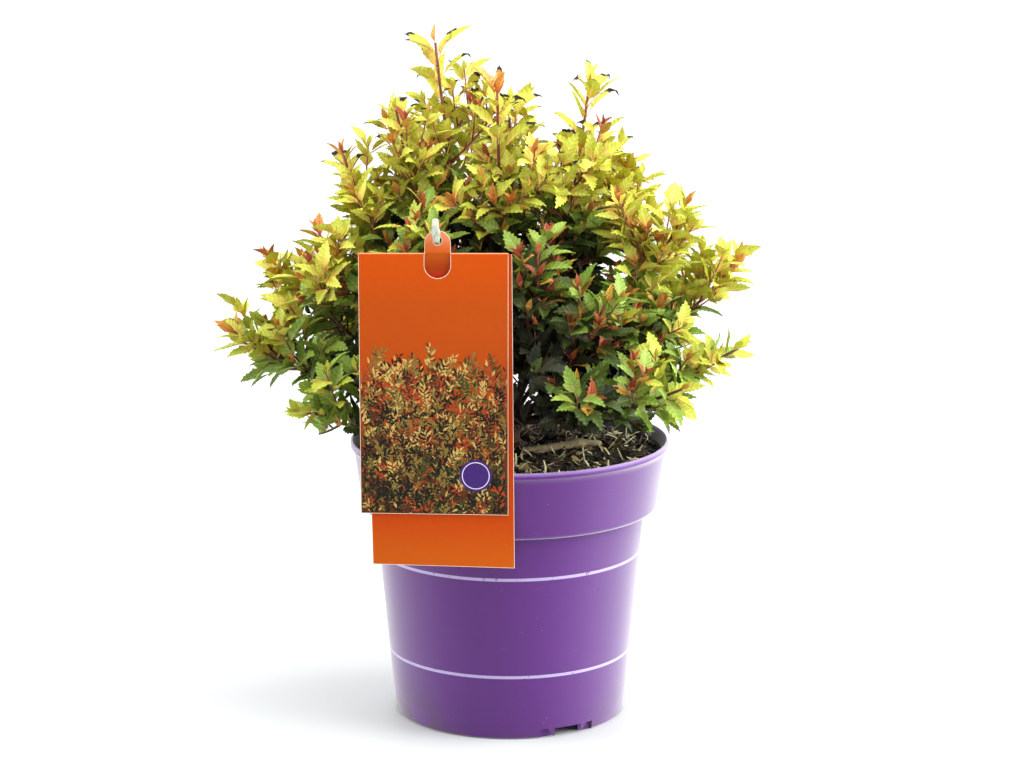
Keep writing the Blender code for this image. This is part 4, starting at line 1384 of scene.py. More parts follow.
def pot_profile():
    """The pot's section, from the middle of its floor over the lip to the middle of its underside."""
    corner = [
        (
            BAND_BOTTOM_RADIUS - BAND_CORNER * (1 - math.cos(angle)),
            BAND_BOTTOM + BAND_CORNER * (1 - math.sin(angle)),
        )
        for angle in (math.pi / 2 * i / 8 for i in range(9))
    ]
    body = [(pot_outer_radius(z), z) for z in (0.140, 0.115, 0.09, 0.065, 0.04, 0.018, 0.0012)]
    inner = [(pot_outer_radius(z) - WALL, z) for z in (FLOOR_TOP, 0.05, 0.10, 0.14)]
    return [
        (0.0, FLOOR_TOP),
        *inner,
        (BODY_TOP_RADIUS - WALL, BAND_BOTTOM + WALL),
        (BAND_BOTTOM_RADIUS - WALL - 0.0015, BAND_BOTTOM + WALL),
        (BAND_BOTTOM_RADIUS - WALL, BAND_BOTTOM + WALL + 0.0015),
        (BAND_TOP_RADIUS - WALL, BAND_TOP),
        *arc((LIP_RADIUS - WALL + LIP_ROUND, POT_HEIGHT - LIP_ROUND), LIP_ROUND, 180, 90, 6),
        *arc((LIP_RADIUS - LIP_ROUND, POT_HEIGHT - LIP_ROUND), LIP_ROUND, 90, 0, 6),
        (LIP_RADIUS - 0.0001, POT_HEIGHT - LIP_DEPTH + 0.0008),
        (LIP_RADIUS - 0.0008, POT_HEIGHT - LIP_DEPTH),
        (BAND_TOP_RADIUS + 0.0003, BAND_TOP + 0.0008),
        (BAND_TOP_RADIUS, BAND_TOP - 0.001),
        *corner,
        (BODY_TOP_RADIUS + 0.0008, BAND_BOTTOM),
        (BODY_TOP_RADIUS, BAND_BOTTOM - 0.0006),
        *body,
        (FOOT_RADIUS - 0.0007, 0.0003),
        (FOOT_RADIUS - 0.0014, 0.0),
        (FOOT_RADIUS - FOOT_RING_WIDTH + 0.0006, 0.0),
        (FOOT_RADIUS - FOOT_RING_WIDTH, 0.0006),
        (FOOT_RADIUS - FOOT_RING_WIDTH, FLOOR_UNDERSIDE),
        (BOSS_RADIUS, FLOOR_UNDERSIDE),
        (BOSS_RADIUS, 0.0006),
        (BOSS_RADIUS - 0.0006, 0.0),
        (0.0, 0.0),
    ]


def cutter_mesh(make, **sizes):
    mesh = bpy.data.meshes.new("cutter")
    shape = bmesh.new()
    make(shape, **sizes)
    shape.to_mesh(mesh)
    shape.free()
    return mesh


def pot_finish():
    finish = Finish("pot_plastic", 0.32, Specular_IOR_Level=0.36, Sheen_Weight=1.0, Sheen_Roughness=0.42)
    x, y, z = finish.axes()
    cloud = finish.noise(14.0, 3.0)
    grain = finish.noise(900.0, 2.0)
    scuff = finish.noise(60.0, 4.0, (1.0, 1.0, 6.0))
    colour = finish.blend(cloud, (72, 4, 102), (80, 9, 110))
    colour = finish.blend(scuff.rise(0.66, 0.78) * 0.16, colour, (120, 78, 150))
    worn = finish.noise(420.0, 3.0)
    stripe = 0.0
    for height in STRIPE_HEIGHTS:
        band = 1 - abs(z - height).rise(STRIPE_WIDTH / 2 - 0.00012, STRIPE_WIDTH / 2 + 0.00012)
        stripe = band + stripe
    stripe = stripe * worn.rise(0.28, 0.36)
    radius = finish.node("Math", {"operation": "POWER"}, {0: x * x + y * y, 1: 0.5})
    stripe = stripe * radius.rise(0.080, 0.0815)
    colour = finish.blend(stripe.clamp() * 0.84, colour, (178, 166, 206))
    # The top of the lip is paler: painted highlight, with some wear.
    lip = z.rise(0.1985, 0.2010)
    colour = finish.blend(lip * 0.55, colour, (170, 138, 204))
    soil = finish.noise(55.0, 5.0, roughness=0.65)
    low = 1 - z.rise(0.004, 0.040)
    left = (0 - x).rise(0.030, 0.070) * (0 - y).rise(-0.01, 0.03)
    right = x.rise(0.055, 0.080) * (0 - y).rise(-0.02, 0.01)
    smear = low * (left * 0.95 + right * 0.7 + 0.12) * soil.rise(0.40, 0.62)
    foot = (1 - z.rise(0.001, 0.008)) * soil.rise(0.35, 0.6)
    crumbs = finish.noise(340.0, 3.0).rise(0.42, 0.60)
    colour = finish.blend((smear + foot * 0.5).clamp() * (crumbs * 0.45 + 0.40), colour, (70, 52, 56))
    # The inner wall above the mix is darkened: soil smears, and painted shade under the foliage.
    inside = z.rise(0.1850, 0.1880) * (1 - (radius - z * 0.364).rise(0.0405, 0.0412))
    rim_soil_and_shade = inside * (1 - (z + soil * 0.006).rise(0.1985, 0.2035))
    colour = finish.blend(rim_soil_and_shade.clamp() * 0.85, colour, (34, 24, 28))
    fleck = finish.cells(230.0).rise(0.035, 0.060)
    rare = finish.noise(36.0, 2.0).rise(0.56, 0.62)
    colour = finish.blend((1 - fleck) * rare * 0.8, colour, (206, 196, 216))
    finish.feed("Base Color", colour)
    finish.feed("Roughness", 0.34 + cloud * 0.08 + scuff * 0.06 + smear.clamp() * 0.3)
    finish.relief(grain * 0.25 + cloud * 0.6 + stripe * 0.15, 0.00012, 0.6)
    return finish


def make_pot():
    finish = pot_finish()
    pot = turned_object("pot_cut", pot_profile(), POT_STEPS)
    cutters = bpy.data.collections.new("cutters")
    box = bmesh.ops.create_cube
    recess_size = Matrix.Diagonal((2 * NOTCH_RECESS, NOTCH_WIDTH, 2 * NOTCH_HEIGHT, 1.0))
    opening_size = Matrix.Diagonal((4 * FOOT_RING_WIDTH, NOTCH_OPENING, 2 * NOTCH_HEIGHT, 1.0))
    recess = cutter_mesh(box, size=1.0, matrix=recess_size)
    opening = cutter_mesh(box, size=1.0, matrix=opening_size)
    round_bar = {"cap_ends": True, "segments": 24, "depth": 4 * FLOOR_TOP}
    drain = cutter_mesh(bmesh.ops.create_cone, radius1=DRAIN_RADIUS, radius2=DRAIN_RADIUS, **round_bar)

    def cut(mesh, bearing, radius):
        cutter = bpy.data.objects.new("cutter", mesh)
        cutters.objects.link(cutter)
        cutter.matrix_world = Matrix.Rotation(bearing, 4, "Z") @ Matrix.Translation((radius, 0.0, 0.0))

    for i in range(NOTCH_COUNT):
        bearing = NOTCH_BEARING + i * math.tau / NOTCH_COUNT
        sagitta = FOOT_RADIUS - math.sqrt(FOOT_RADIUS**2 - (NOTCH_WIDTH / 2) ** 2)
        cut(recess, bearing, FOOT_RADIUS - sagitta)
        cut(opening, bearing, FOOT_RADIUS)
    for i in range(DRAIN_COUNT):
        cut(drain, (i + 0.5) * math.tau / DRAIN_COUNT, DRAIN_CIRCLE)
    bpy.context.scene.collection.children.link(cutters)
    openings = pot.modifiers.new("foot_openings", "BOOLEAN")
    openings.operation = "DIFFERENCE"
    openings.operand_type = "COLLECTION"
    openings.collection = cutters
    openings.solver = "EXACT"
    mesh = finished_mesh(pot)
    for ob in list(cutters.objects):
        bpy.data.objects.remove(ob)
    bpy.data.collections.remove(cutters)
    shape = bmesh.new()
    shape.from_mesh(mesh)
    bmesh.ops.remove_doubles(shape, verts=shape.verts, dist=MERGE)
    bmesh.ops.recalc_face_normals(shape, faces=shape.faces)
    shape.to_mesh(mesh)
    shape.free()
    mesh.materials.clear()
    mesh.polygons.foreach_set("use_smooth", np.ones(len(mesh.polygons), bool))
    mesh.set_sharp_from_angle(angle=math.radians(32))
    place_piece("pot_shell", mesh, [finish], ["pot"])


def mix_finish():
    finish = Finish("potting_mix", 0.95)
    crumb = finish.cells(520.0)
    clod = finish.noise(160.0, 4.0)
    fibre = finish.noise(700.0, 2.0, (1.0, 0.25, 1.0))
    colour = finish.blend(clod.rise(0.3, 0.7), (16, 14, 11), (42, 36, 26))
    colour = finish.blend(fibre.rise(0.64, 0.72) * 0.7, colour, (104, 92, 60))
    finish.feed("Base Color", colour)
    finish.relief(crumb * 0.8 + clod, 0.0014)
    return finish


def plant_matter_finish(name, body, pale, dark):
    finish = Finish(name, 0.8)
    grain = finish.noise(600.0, 3.0)
    patch = finish.noise(90.0, 2.0)
    colour = finish.blend(grain.rise(0.35, 0.65), body, pale)
    colour = finish.blend(patch.rise(0.45, 0.75) * 0.7, colour, dark)
    finish.feed("Base Color", colour)
    finish.relief(grain, 0.0003)
    return finish


def chip(rng, length, width, thickness, bend):
    """A torn chip or straw: a flattened tube with blunt, uneven ends."""
    count = 4
    line = []
    for i in range(count):
        share = i / (count - 1) - 0.5
        rise = rng.uniform(-0.04, 0.04) * length
        line.append((share * length, bend * (0.25 - share * share) * length, rise))
    points = []
    for i, (x, y, z) in enumerate(line):
        taper = rng.uniform(0.55, 1.0) if i in (0, count - 1) else rng.uniform(0.85, 1.15)
        for dy, dz in ((-0.5, -0.5), (0.5, -0.5), (0.5, 0.5), (-0.5, 0.5)):
            points.append((
                x + rng.uniform(-0.04, 0.04) * length,
                y + dy * width * taper,
                z + dz * thickness * taper,
            ))
    return np.array(points), [skin_faces(count, 4), end_faces(count, 4)]


def mix_surface(x, y):
    """Height of the mix with its clods."""
    radius = math.hypot(x, y)
    edge = min(max((0.1085 - radius) / 0.006, 0.0), 1.0)
    seat = min(max((radius - 0.014) / 0.010, 0.0), 1.0)
    clod = noise.fractal(Vector((x * 60, y * 60, 0.3)), 0.9, 2.1, 5) * MIX_RELIEF
    heap = noise.noise(Vector((x * 16 + 4, y * 16, 2.0))) * 0.0030
    banked = MIX_BANK * min(max((radius - 0.070) / 0.030, 0.0), 1.0)
    return mix_height(radius) + banked + (clod + heap) * edge * seat - 0.0006


def make_mix():
    rings, steps = 72, 168
    reach = BAND_BOTTOM_RADIUS + (BAND_TOP_RADIUS - BAND_BOTTOM_RADIUS) * (
        (MIX_EDGE - BAND_BOTTOM) / (BAND_TOP - BAND_BOTTOM)
    ) - WALL - GAP
    points = [(0.0, 0.0, mix_surface(0.0, 0.0))]
    for i in range(1, rings + 1):
        radius = reach * i / rings
        for j in range(steps):
            angle = math.tau * j / steps
            x, y = radius * math.cos(angle), radius * math.sin(angle)
            points.append((x, y, mix_surface(x, y)))
    centre = [(0, 1 + j, 1 + (j + 1) % steps) for j in range(steps)]
    clear = WALL + GAP
    shelf = BAND_BOTTOM + clear
    below = (
        (BAND_BOTTOM_RADIUS - clear - 0.0005, shelf),
        (BODY_TOP_RADIUS - clear, shelf),
        (pot_outer_radius(FLOOR_TOP) - clear, FLOOR_TOP + GAP),
    )
    for radius, z in below:
        for j in range(steps):
            angle = math.tau * j / steps
            points.append((radius * math.cos(angle), radius * math.sin(angle), z))
    rings += len(below)
    rows = [(a, d, c, b) for a, b, c, d in skin_faces(rings, steps, 1)]
    bottom = [tuple(reversed(range(len(points) - steps, len(points))))]
    mesh = build_mesh("mix", points, [centre, rows, bottom])
    place_piece("mix", mesh, [mix_finish()], ["potting_mix"])
    make_litter()


def scatter(bundle, rng, slot, count, lengths, widths, thicknesses, bend, steep):
    """Lays chips on the mix, most of them flat, some stuck in it."""
    done = 0
    while done < count:
        radius = 0.106 * math.sqrt(rng.random())
        angle = rng.uniform(0, math.tau)
        length = rng.uniform(*lengths)
        if radius < 0.020 or radius + length * 0.42 > LITTER_REACH:
            continue
        x, y = radius * math.cos(angle), radius * math.sin(angle)
        width, thickness = rng.uniform(*widths), rng.uniform(*thicknesses)
        points, groups = chip(rng, length, width, thickness, rng.uniform(-bend, bend))
        pitch = rng.gauss(0.0, steep)
        turned = (
            Matrix.Rotation(rng.uniform(0, math.tau), 3, "Z")
            @ Matrix.Rotation(pitch, 3, "Y")
            @ Matrix.Rotation(rng.uniform(-0.6, 0.6), 3, "X")
        )
        lift = abs(math.sin(pitch)) * length * 0.3 + rng.uniform(0.0, 0.0012)
        points = points @ np.array(turned).T + np.array((x, y, mix_surface(x, y) + lift))
        if points[:, 2].max() > LITTER_TOP:
            continue
        bundle.add(points, groups, slot)
        done += 1


def fibre_line(rng):
    """A fine root that lies on the mix, or None where it would cross the stem or the wall."""
    radius = 0.100 * math.sqrt(rng.random())
    if radius < 0.020:
        return None
    angle = rng.uniform(0, math.tau)
    x, y = radius * math.cos(angle), radius * math.sin(angle)
    heading = rng.uniform(0, math.tau)
    cos, sin = math.cos(heading), math.sin(heading)
    length = rng.uniform(0.008, 0.026)
    line = []
    for i in range(6):
        share = i / 5 - 0.5
        px = x + cos * share * length
        py = y + sin * share * length
        bow = rng.uniform(-0.0008, 0.0008)
        lift = 0.0006 + 0.0022 * rng.random() * (0.5 - abs(share)) * 2
        line.append((px - sin * bow, py + cos * bow, mix_surface(px, py) + lift))
    return line if max(math.hypot(p[0], p[1]) for p in line) <= LITTER_REACH else None


def loose_twig(spots, lifts, radii, sides, seed):
    """A broken twig that lies on the mix through the given spots."""
    guides = []
    for (x, y), lift in zip(spots, fair(*lifts, len(spots))):
        guides.append(Vector((x, y, mix_surface(x, y) + lift)))
    return tube(Path(*guides).points(0.0, 1.0, len(radii)), radii, sides, 0.10, seed)


def make_litter():
    """Straw, bark, crumbs of peat and leaf scraps on the mix, fine roots, and two broken twigs."""
    rng = random.Random(11)
    litter = Bundle()
    finishes = []
    for slot, (name, tones, *sizes) in enumerate(LITTER):
        finishes.append(plant_matter_finish(name, *tones))
        scatter(litter, rng, slot, *sizes)
    place_piece("litter", litter.mesh("litter", smooth=False), finishes)
    fibres = Bundle()
    for _ in range(FIBRE_COUNT):
        line = fibre_line(rng)
        if line:
            fibres.add(*tube(line, fair(0.00028, 0.00016, 6), 5))
    root = plant_matter_finish("root_fibres", (112, 88, 58), (150, 126, 88), (66, 48, 32))
    place_piece("fibres", fibres.mesh("fibres"), [root])
    stick = Bundle()
    knob = [0.0034, 0.0045, 0.0044, 0.0034, 0.0026, 0.0025, 0.0023, 0.0016]
    stick.add(*loose_twig(LONG_TWIG, (0.0030, 0.0045), [0.0029] * 10 + knob, 14, 3.0))
    stick.add(*loose_twig(SHORT_TWIG, (0.0026, 0.0026), fair(0.0020, 0.0017, 8), 10, 8.0))
    old_wood = plant_matter_finish("old_twig_wood", (150, 134, 98), (186, 170, 128), (98, 82, 58))
    place_piece("loose_twigs", stick.mesh("loose_twigs"), [old_wood])


# Tag


def card_slope(height):
    """How the card twists: its left side comes forward at the top and goes back at the bottom."""
    heights = (BACK_BOTTOM, FRONT_BOTTOM, 0.2000, FOLD_HEIGHT)
    slopes = [math.tan(math.radians(angle)) for angle in (-3.6, -0.6, 0.1, 2.6)]
    return np.interp(height, heights, slopes)


def twisted(points):
    """Card points in the tag's flat frame, twisted and set in the plant's frame."""
    points = np.array(points, float)
    across, towards, height = points.T
    pivot = np.interp(height, (0.2000, FOLD_HEIGHT), (0.0, TAB_CENTRE))
    towards = towards + card_slope(height) * (across - pivot)
    turned = np.stack([
        across * math.cos(TAG_TURN) - towards * math.sin(TAG_TURN),
        across * math.sin(TAG_TURN) + towards * math.cos(TAG_TURN),
        height,
    ], 1)
    return turned


def sheet_mesh(outlines, thickness, depth):
    """A flat card from closed outlines of (across, height), gridded so that it can twist."""
    curve = bpy.data.curves.new("card", "CURVE")
    curve.dimensions = "2D"
    curve.fill_mode = "BOTH"
    curve.extrude = thickness / 2
    for outline in outlines:
        spline = curve.splines.new("POLY")
        spline.points.add(len(outline) - 1)
        for point, (across, up) in zip(spline.points, outline):
            point.co = (across, up, 0.0, 1.0)
        spline.use_cyclic_u = True
    mesh = finished_mesh(add_object("card", curve))
    shape = bmesh.new()
    shape.from_mesh(mesh)
    bmesh.ops.remove_doubles(shape, verts=shape.verts, dist=MERGE)
    bmesh.ops.dissolve_limit(shape, angle_limit=0.01, verts=shape.verts, edges=shape.edges)
    low = min(v.co.y for v in shape.verts)
    high = max(v.co.y for v in shape.verts)
    left = min(v.co.x for v in shape.verts)
    right = max(v.co.x for v in shape.verts)
    for way in (1, -1):
        faces = [face for face in shape.faces if face.normal.z * way > 0.5]
        bmesh.ops.inset_region(shape, faces=faces, thickness=TRIM, use_boundary=True, use_even_offset=True)
        inner_faces = set(faces)
        for face in shape.faces:
            if face.normal.z * way > 0.5 and face not in inner_faces:
                face.material_index = 1
    for axis, first, last, count in ((1, low, high, 30), (0, left, right, 14)):
        for i in range(1, count):
            spot = [0.0, 0.0, 0.0]
            spot[axis] = first + (last - first) * i / count
            normal = [0.0, 0.0, 0.0]
            normal[axis] = 1.0
            geometry = shape.verts[:] + shape.edges[:] + shape.faces[:]
            bmesh.ops.bisect_plane(shape, geom=geometry, plane_co=spot, plane_no=normal)
    for face in shape.faces:
        flat = abs(face.normal.z) > 0.5 and face.material_index == 0
        face.material_index = (0 if face.normal.z > 0 else 1) if flat else 2
    for vertex in shape.verts:
        x, y, z = vertex.co
        vertex.co = (x, depth - z, y)
    shape.to_mesh(mesh)
    shape.free()
    return mesh


def card_finish(name, stops, picture=False, opening_print_and_shade_stops=()):
    """Print on coated card: a colour that changes with height, by stops of (height, red, green, blue). The
    opening's stops hold painted shade, and the fold gets a painted highlight.
    """
    finish = Finish(name, 0.44, Specular_IOR_Level=0.06)
    x, _, z = finish.axes()
    mottle = finish.noise(220.0, 3.0)
    print_dots = finish.noise(1800.0, 1.0)
    colour = finish.ramp(z, stops)
    if picture:
        dusk = 1 - (z + mottle * 0.020).rise(0.200, 0.282)
        colour = finish.blend(dusk * 0.90, colour, (76, 48, 26))
        deep = (1 - z.rise(0.172, 0.262)) * mottle.rise(0.35, 0.6)
        colour = finish.blend(deep * 0.9, colour, (32, 28, 18))
    # Where the front card's opening shows the back card it is darkened: painted shade between the two cards;
    # the tab above pales towards its top: painted highlight, with some wear.
    if opening_print_and_shade_stops:
        tab_x = TAB_CENTRE * math.cos(TAG_TURN) - BACK_CARD_Y * math.sin(TAG_TURN)
        below_tab = 1 - abs(x - tab_x).rise(TAB_WIDTH / 2 + 0.0004, TAB_WIDTH / 2 + 0.0012)
        opening = finish.ramp(z, opening_print_and_shade_stops)
        colour = finish.blend(below_tab * z.rise(OPENING_BOTTOM - 0.003, OPENING_BOTTOM), colour, opening)
    else:
        # A pale line along the fold: painted highlight.
        painted_fold_highlight = z.rise(FOLD_HEIGHT - 0.0010, FOLD_HEIGHT - 0.0004)
        colour = finish.blend(painted_fold_highlight * 0.7, colour, (238, 178, 132))
    colour = finish.blend(print_dots * 0.06 + mottle * 0.06, colour, (220, 130, 60))
    finish.feed("Base Color", colour)
    finish.feed("Roughness", 0.40 + mottle * 0.10)
    finish.relief(mottle * 0.5 + print_dots * 0.1, 0.0002, 0.4)
    return finish


def paper_edge_finish():
    finish = Finish("card_edge", 0.75)
    fibre = finish.noise(2600.0, 2.0)
    finish.feed("Base Color", finish.blend(fibre, (244, 226, 206), (226, 200, 176)))
    return finish


def print_finish(name, body, dark):
    finish = Finish(name, 0.44, Specular_IOR_Level=0.12)
    speck = finish.noise(1400.0, 2.0)
    finish.feed("Base Color", finish.blend(speck.rise(0.3, 0.7), body, dark))
    return finish


def make_tag():
    front_stops = ((0.17, 158, 58, 10), (0.26, 164, 62, 12), (0.31, 172, 66, 10), (0.356, 190, 68, 2))
    front_print = card_finish("tag_front_print", front_stops, picture=True)
    inner = card_finish("tag_inner", ((0.17, 156, 46, 10), (0.356, 146, 36, 10)))
    edge = paper_edge_finish()
    back_stops = ((0.135, 186, 80, 10), (0.174, 180, 58, 4), (0.220, 168, 48, 4), (0.3560, 168, 58, 6))
    # The back card in the opening is darkened: painted shade between the cards; then the tab, paling to its
    # top: painted highlight with some wear.
    opening_print_and_shade_stops = (
        (0.3385, 176, 22, 4), (0.3440, 150, 44, 6), (0.3552, 172, 72, 16), (0.3566, 196, 88, 34),
        (0.3712, 214, 138, 100),
    )
    back_print = card_finish("tag_back_print", back_stops, opening_print_and_shade_stops=opening_print_and_shade_stops)
    card_top = FOLD_HEIGHT - FOLD_RADIUS
    half_tab = TAB_WIDTH / 2

    def card_outline(centre, width, bottom, swing, tab_height, last_angle):
        left, right = centre - width / 2, centre + width / 2
        return [
            (left + swing, bottom),
            (right + swing, bottom),
            (right, card_top),
            (TAB_CENTRE + half_tab, card_top),
            *arc((TAB_CENTRE, tab_height), half_tab, 0, last_angle, 25),
            (TAB_CENTRE - half_tab, card_top),
            (left, card_top),
        ]

    swing = math.tan(BACK_SKEW) * (FOLD_HEIGHT - BACK_BOTTOM)
    back = card_outline(BACK_CENTRE, BACK_WIDTH, BACK_BOTTOM, swing, TAB_TOP - half_tab, 180)
    hole = arc((TAB_CENTRE, HOOK_HOLE_HEIGHT), HOOK_HOLE_RADIUS, 0, 345, 24)
    front = card_outline(FRONT_CENTRE, FRONT_WIDTH, FRONT_BOTTOM, 0.0, OPENING_BOTTOM + half_tab, -180)
    front_left, front_right = FRONT_CENTRE - FRONT_WIDTH / 2, FRONT_CENTRE + FRONT_WIDTH / 2
    shape = bmesh.new()
    cards = (([back, hole], BACK_CARD_Y, (3, 3, 2)), ([front], FRONT_CARD_Y, (0, 1, 2)))
    for outlines, depth, slots in cards:
        mesh = sheet_mesh(outlines, CARD, depth)
        start = len(shape.faces)
        shape.from_mesh(mesh)
        shape.faces.ensure_lookup_table()
        for face in shape.faces[start:]:
            across, _, up = face.calc_center_median()
            at_fold = up > card_top - 1.1 * TRIM and abs(across - TAB_CENTRE) > half_tab
            if face.material_index == 2 and at_fold and abs(face.normal.y) > 0.5:
                face.material_index = 0 if face.normal.y < 0 else 1
            face.material_index = slots[face.material_index]
    bow = (FRONT_CARD_Y - BACK_CARD_Y) / 2
    middle = (FRONT_CARD_Y + BACK_CARD_Y) / 2
    for first, last in ((front_left, TAB_CENTRE - half_tab), (TAB_CENTRE + half_tab, front_right)):
        outer = arc((middle, card_top), abs(bow) + CARD / 2, 180, 0, 13)
        inner_arc = arc((middle, card_top), abs(bow) - CARD / 2, 0, 180, 13)
        outline = outer + inner_arc
        count = 8
        rows = []
        for i in range(count + 1):
            across = first + (last - first) * i / count
            rows.append([shape.verts.new((across, y, z)) for y, z in outline])
        total = len(outline)
        for i in range(count):
            for j in range(total):
                k = (j + 1) % total
                face = shape.faces.new((rows[i][j], rows[i + 1][j], rows[i + 1][k], rows[i][k]))
                face.material_index = 0 if j < 12 else 1
        for row in (rows[0], list(reversed(rows[-1]))):
            face = shape.faces.new(row)
            face.material_index = 2
    mesh = bpy.data.meshes.new("tag_card")
    bmesh.ops.remove_doubles(shape, verts=shape.verts, dist=MERGE)
    bmesh.ops.recalc_face_normals(shape, faces=shape.faces)
    places = twisted([vertex.co for vertex in shape.verts])
    for vertex, place in zip(shape.verts, places):
        vertex.co = place
    shape.to_mesh(mesh)
    shape.free()
    place_piece("tag_card", mesh, [front_print, inner, edge, back_print], ["tag"])
    make_leaf_print()


def make_leaf_print():
    """The printed border on the front of the card: small sprigs, scattered, thicker towards its foot."""
    rng = random.Random(5)
    colours = (
        print_finish("print_dark", (28, 28, 18), (18, 18, 14)),
        print_finish("print_brown", (94, 50, 28), (58, 34, 20)),
        print_finish("print_olive", (136, 116, 54), (104, 86, 38)),
        print_finish("print_rust", (176, 70, 28), (132, 48, 22)),
        print_finish("print_green", (66, 76, 28), (42, 52, 22)),
        print_finish("print_straw", (206, 176, 100), (170, 134, 70)),
    )
    low_shares = (0.52, 0.20, 0.09, 0.04, 0.11, 0.04)
    high_shares = (0.10, 0.12, 0.24, 0.28, 0.06, 0.20)
    leaves = Bundle()
    left = FRONT_CENTRE - FRONT_WIDTH / 2 + 1.5 * TRIM
    right = FRONT_CENTRE + FRONT_WIDTH / 2 - 1.5 * TRIM
    face_y = FRONT_CARD_Y - CARD / 2

    def print_shape(spots, faces, slot, step):
        xs = [spot[0] for spot in spots]
        zs = [spot[1] for spot in spots]
        if min(xs) < left or max(xs) > right or min(zs) < FRONT_BOTTOM + 1.5 * TRIM:
            return
        leaves.add(twisted([(x, face_y - step, z) for x, z in spots]), [faces], slot)

    for number in range(PRINTED_SPRIGS):
        share = (number + 0.5) / PRINTED_SPRIGS
        across = rng.uniform(left, right)
        height = FRONT_BOTTOM - 0.008 + 0.104 * (1 - share) + rng.uniform(-0.008, 0.008)
        heading = math.pi / 2 + rng.gauss(0.0, 0.55)
        bow = rng.uniform(-0.5, 0.5)
        pairs = rng.randint(3, 6)
        pitch = rng.uniform(0.0020, 0.0031)
        shares = [a * share + b * (1 - share) for a, b in zip(low_shares, high_shares)]
        tone = rng.choices(range(6), shares)[0]
        step = 0.00004 + 0.00012 * number / PRINTED_SPRIGS
        x, z = across, height
        for i in range(pairs * 2 + 1):
            before = (x, z)
            turn = heading + bow * i / pairs
            x += math.cos(turn) * pitch / 2
            z += math.sin(turn) * pitch / 2
            across_x, across_z = -math.sin(turn) * 0.00016, math.cos(turn) * 0.00016
            stem = (
                (before[0] - across_x, before[1] - across_z), (before[0] + across_x, before[1] + across_z),
                (x + across_x, z + across_z), (x - across_x, z - across_z),
            )
            print_shape(stem, [(0, 3, 2, 1)], 1, step)
            side = 0.0 if i == pairs * 2 else (0.85 if i % 2 else -0.85)
            blade = turn + side + rng.uniform(-0.25, 0.25)
            length = rng.uniform(0.0034, 0.0056)
            width = length * rng.uniform(0.30, 0.44)
            outline = []
            for reach, wide in ((0, 0), (0.3, -0.42), (0.62, -0.36), (1.0, 0.0), (0.62, 0.36), (0.3, 0.42)):
                outline.append((
                    x + math.cos(blade) * reach * length - math.sin(blade) * wide * width,
                    z + math.sin(blade) * reach * length + math.cos(blade) * wide * width,
                ))
            shift = tone if rng.random() < 0.72 else rng.choices(range(6), shares)[0]
            print_shape(outline, [(0, 1, 2, 5), (5, 2, 3, 4)], shift, step + 0.00001)
    place_piece("printed_sprigs", leaves.mesh("printed_sprigs", smooth=False), colours)
    badge = Bundle()
    centre = (-0.0170, 0.2008)
    for radius, inner_radius, slot, lift in ((0.0112, 0.0, 0, 0.00018), (0.0096, 0.0090, 1, 0.00022)):
        steps = 48
        rim = arc(centre, radius, 0, 360 * (steps - 1) / steps, steps)
        core = arc(centre, max(inner_radius, 0.0004), 0, 360 * (steps - 1) / steps, steps)
        points = twisted([(x, face_y - lift, z) for x, z in rim + core])
        groups = [skin_faces(2, steps)]
        if not inner_radius:
            groups.append([tuple(range(steps, 2 * steps))])
        badge.add(points, groups, slot)
    purple = print_finish("badge_purple", (66, 40, 110), (56, 32, 98))
    pale = print_finish("badge_ring", (222, 214, 232), (206, 196, 220))
    place_piece("badge", badge.mesh("badge", smooth=False), [purple, pale])


def stake_finish():
    finish = Finish("stake_plastic", 0.30, Coat_Weight=0.15, Coat_Roughness=0.15)
    cloud = finish.noise(260.0, 3.0)
    scratch = finish.noise(900.0, 2.0, (1.0, 1.0, 0.2))
    fleck = finish.noise(700.0, 3.0, (1.0, 1.0, 0.35))
    colour = finish.blend(cloud, (176, 182, 160), (206, 208, 192))
    colour = finish.blend(fleck.rise(0.50, 0.64) * 0.65, colour, (128, 136, 114))
    finish.feed("Base Color", colour)
    finish.feed("Roughness", 0.24 + scratch * 0.2)
    finish.relief(scratch + cloud, 0.0002)
    return finish


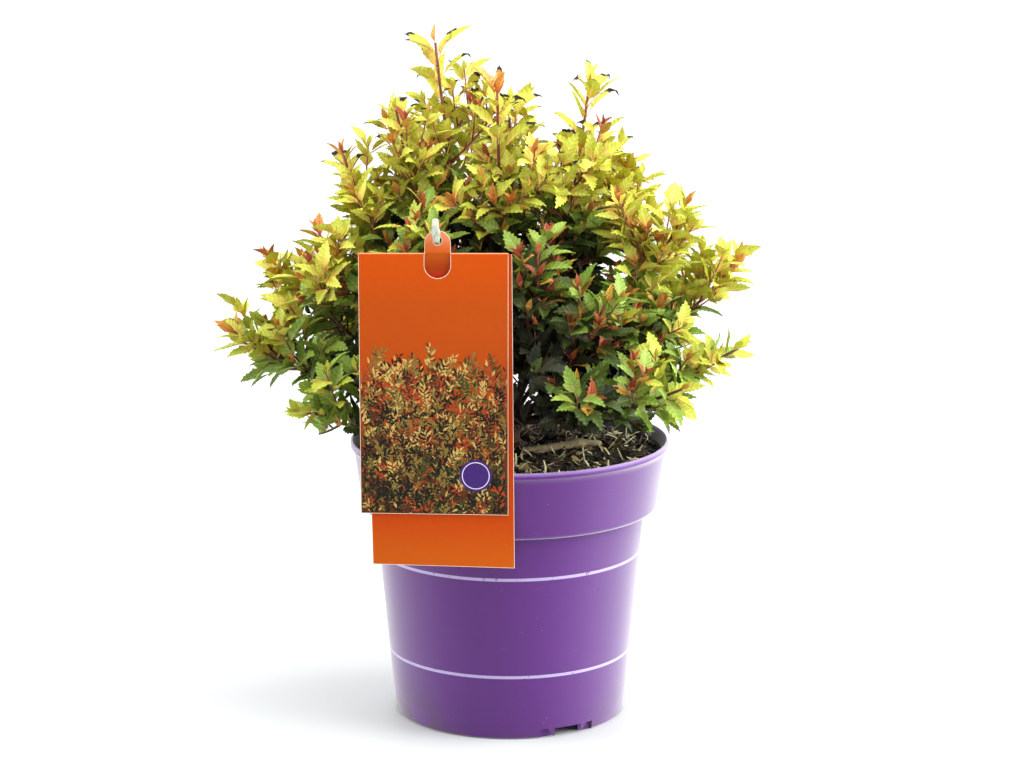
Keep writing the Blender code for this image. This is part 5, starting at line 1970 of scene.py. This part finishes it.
def make_stake():
    """The strap, its edges rounded: widest before the tab, narrow over the top and at the hole."""
    raw = stake_centre_line()
    shank, hook, last = raw[:2], raw[1:8], raw[8:]
    spots = [tuple(np.array(shank[0]) + (np.array(shank[1]) - shank[0]) * i / 14) for i in range(14)]
    spots += hook
    spots += [tuple(np.array(hook[-1]) + (np.array(last[0]) - hook[-1]) * i / 6) for i in range(1, 6)]
    spots += last
    top = STAKE_TOP - STAKE_BEND
    front = STAKE_BACK_Y - STAKE_BEND
    line = []
    widths = []
    for y, z in spots:
        before_tab = y < front
        share = min(max((top - z) / (top - HOOK_HOLE_HEIGHT), 0.0), 1.0) if before_tab else 0.0
        back = min(max((z - 0.330) / (STAKE_TOP - 0.330), 0.0), 1.0)
        lean = STAKE_LEAN * ((1 - share) if before_tab else back)
        line.append(Vector((TAB_CENTRE - lean, y, z)))
        swell = 0.86 + 0.50 * math.sin(math.pi * min(share * 1.1, 1.0))
        widths.append(swell if before_tab else 1.22 - 0.36 * back)
    turn = Matrix.Rotation(TAG_TURN, 3, "Z")
    section = []
    corner = 0.0006
    half_width, half_thick = STAKE_WIDTH / 2, STAKE_THICKNESS / 2
    for sx, sy, first in ((1, 1, 0), (-1, 1, 90), (-1, -1, 180), (1, -1, 270)):
        centre = (sx * (half_width - corner), sy * (half_thick - corner))
        section += arc(centre, corner, first, first + 90, 4)
    count = len(section)
    points = []
    for i, point in enumerate(line):
        before = line[max(i - 1, 0)]
        after = line[min(i + 1, len(line) - 1)]
        heading = (after - before).normalized()
        across = Vector((1.0, 0.0, 0.0))
        normal = heading.cross(across).normalized()
        slim = 0.8 if i > len(line) - 3 else 1.0
        for u, v in section:
            points.append(tuple(turn @ (point + across * u * widths[i] * slim + normal * v * slim)))
    skin = [skin_faces(len(line), count), end_faces(len(line), count)]
    mesh = build_mesh("stake_strap", points, skin)
    mesh.set_sharp_from_angle(angle=math.radians(50))
    place_piece("stake_strap", mesh, [stake_finish()], ["tag_stake"])


# Stage


def floor_finish():
    finish = Finish("studio_floor", 0.55)
    cloud = finish.noise(1.2, 2.0)
    finish.feed("Base Color", finish.blend(cloud, (190, 194, 193), (196, 199, 198)))
    return finish


def make_stage():
    last = 360 * (FLOOR_SIDES - 1) / FLOOR_SIDES
    points = [(x, y, 0.0) for x, y in arc((0.0, 0.0), FLOOR_REACH, 0, last, FLOOR_SIDES)]
    mesh = build_mesh("studio_floor", points, [[tuple(range(FLOOR_SIDES))]])
    mesh.materials.append(floor_finish().material)
    floor = add_object("studio_floor", mesh)


def add_light(name, place, target, size, power):
    light = bpy.data.lights.new(name, "AREA")
    light.shape = "RECTANGLE"
    light.size, light.size_y = size
    light.energy = power
    ob = add_object(name, light)
    ob.location = place
    ob.rotation_euler = (Vector(target) - Vector(place)).to_track_quat("-Z", "Y").to_euler()


def light_and_camera():
    world = bpy.data.worlds.new("studio")
    bpy.context.scene.world = world
    world.use_nodes = True
    background = world.node_tree.nodes["Background"]
    background.inputs["Color"].default_value = (1.0, 1.0, 1.0, 1.0)
    background.inputs["Strength"].default_value = SURROUND
    for light in LIGHTS:
        add_light(*light)
    camera_data = bpy.data.cameras.new("camera")
    camera_data.lens = LENS
    camera_data.sensor_width = SENSOR
    camera = add_object("camera", camera_data)
    camera.location = CAMERA_PLACE
    camera.rotation_euler = (math.pi / 2 - CAMERA_DIP, 0.0, 0.0)
    bpy.context.scene.camera = camera
    bpy.context.scene.view_settings.view_transform = "Standard"


make_stage()
light_and_camera()
make_pot()
make_mix()
make_limbs()
make_foliage()
make_tag()
make_stake()
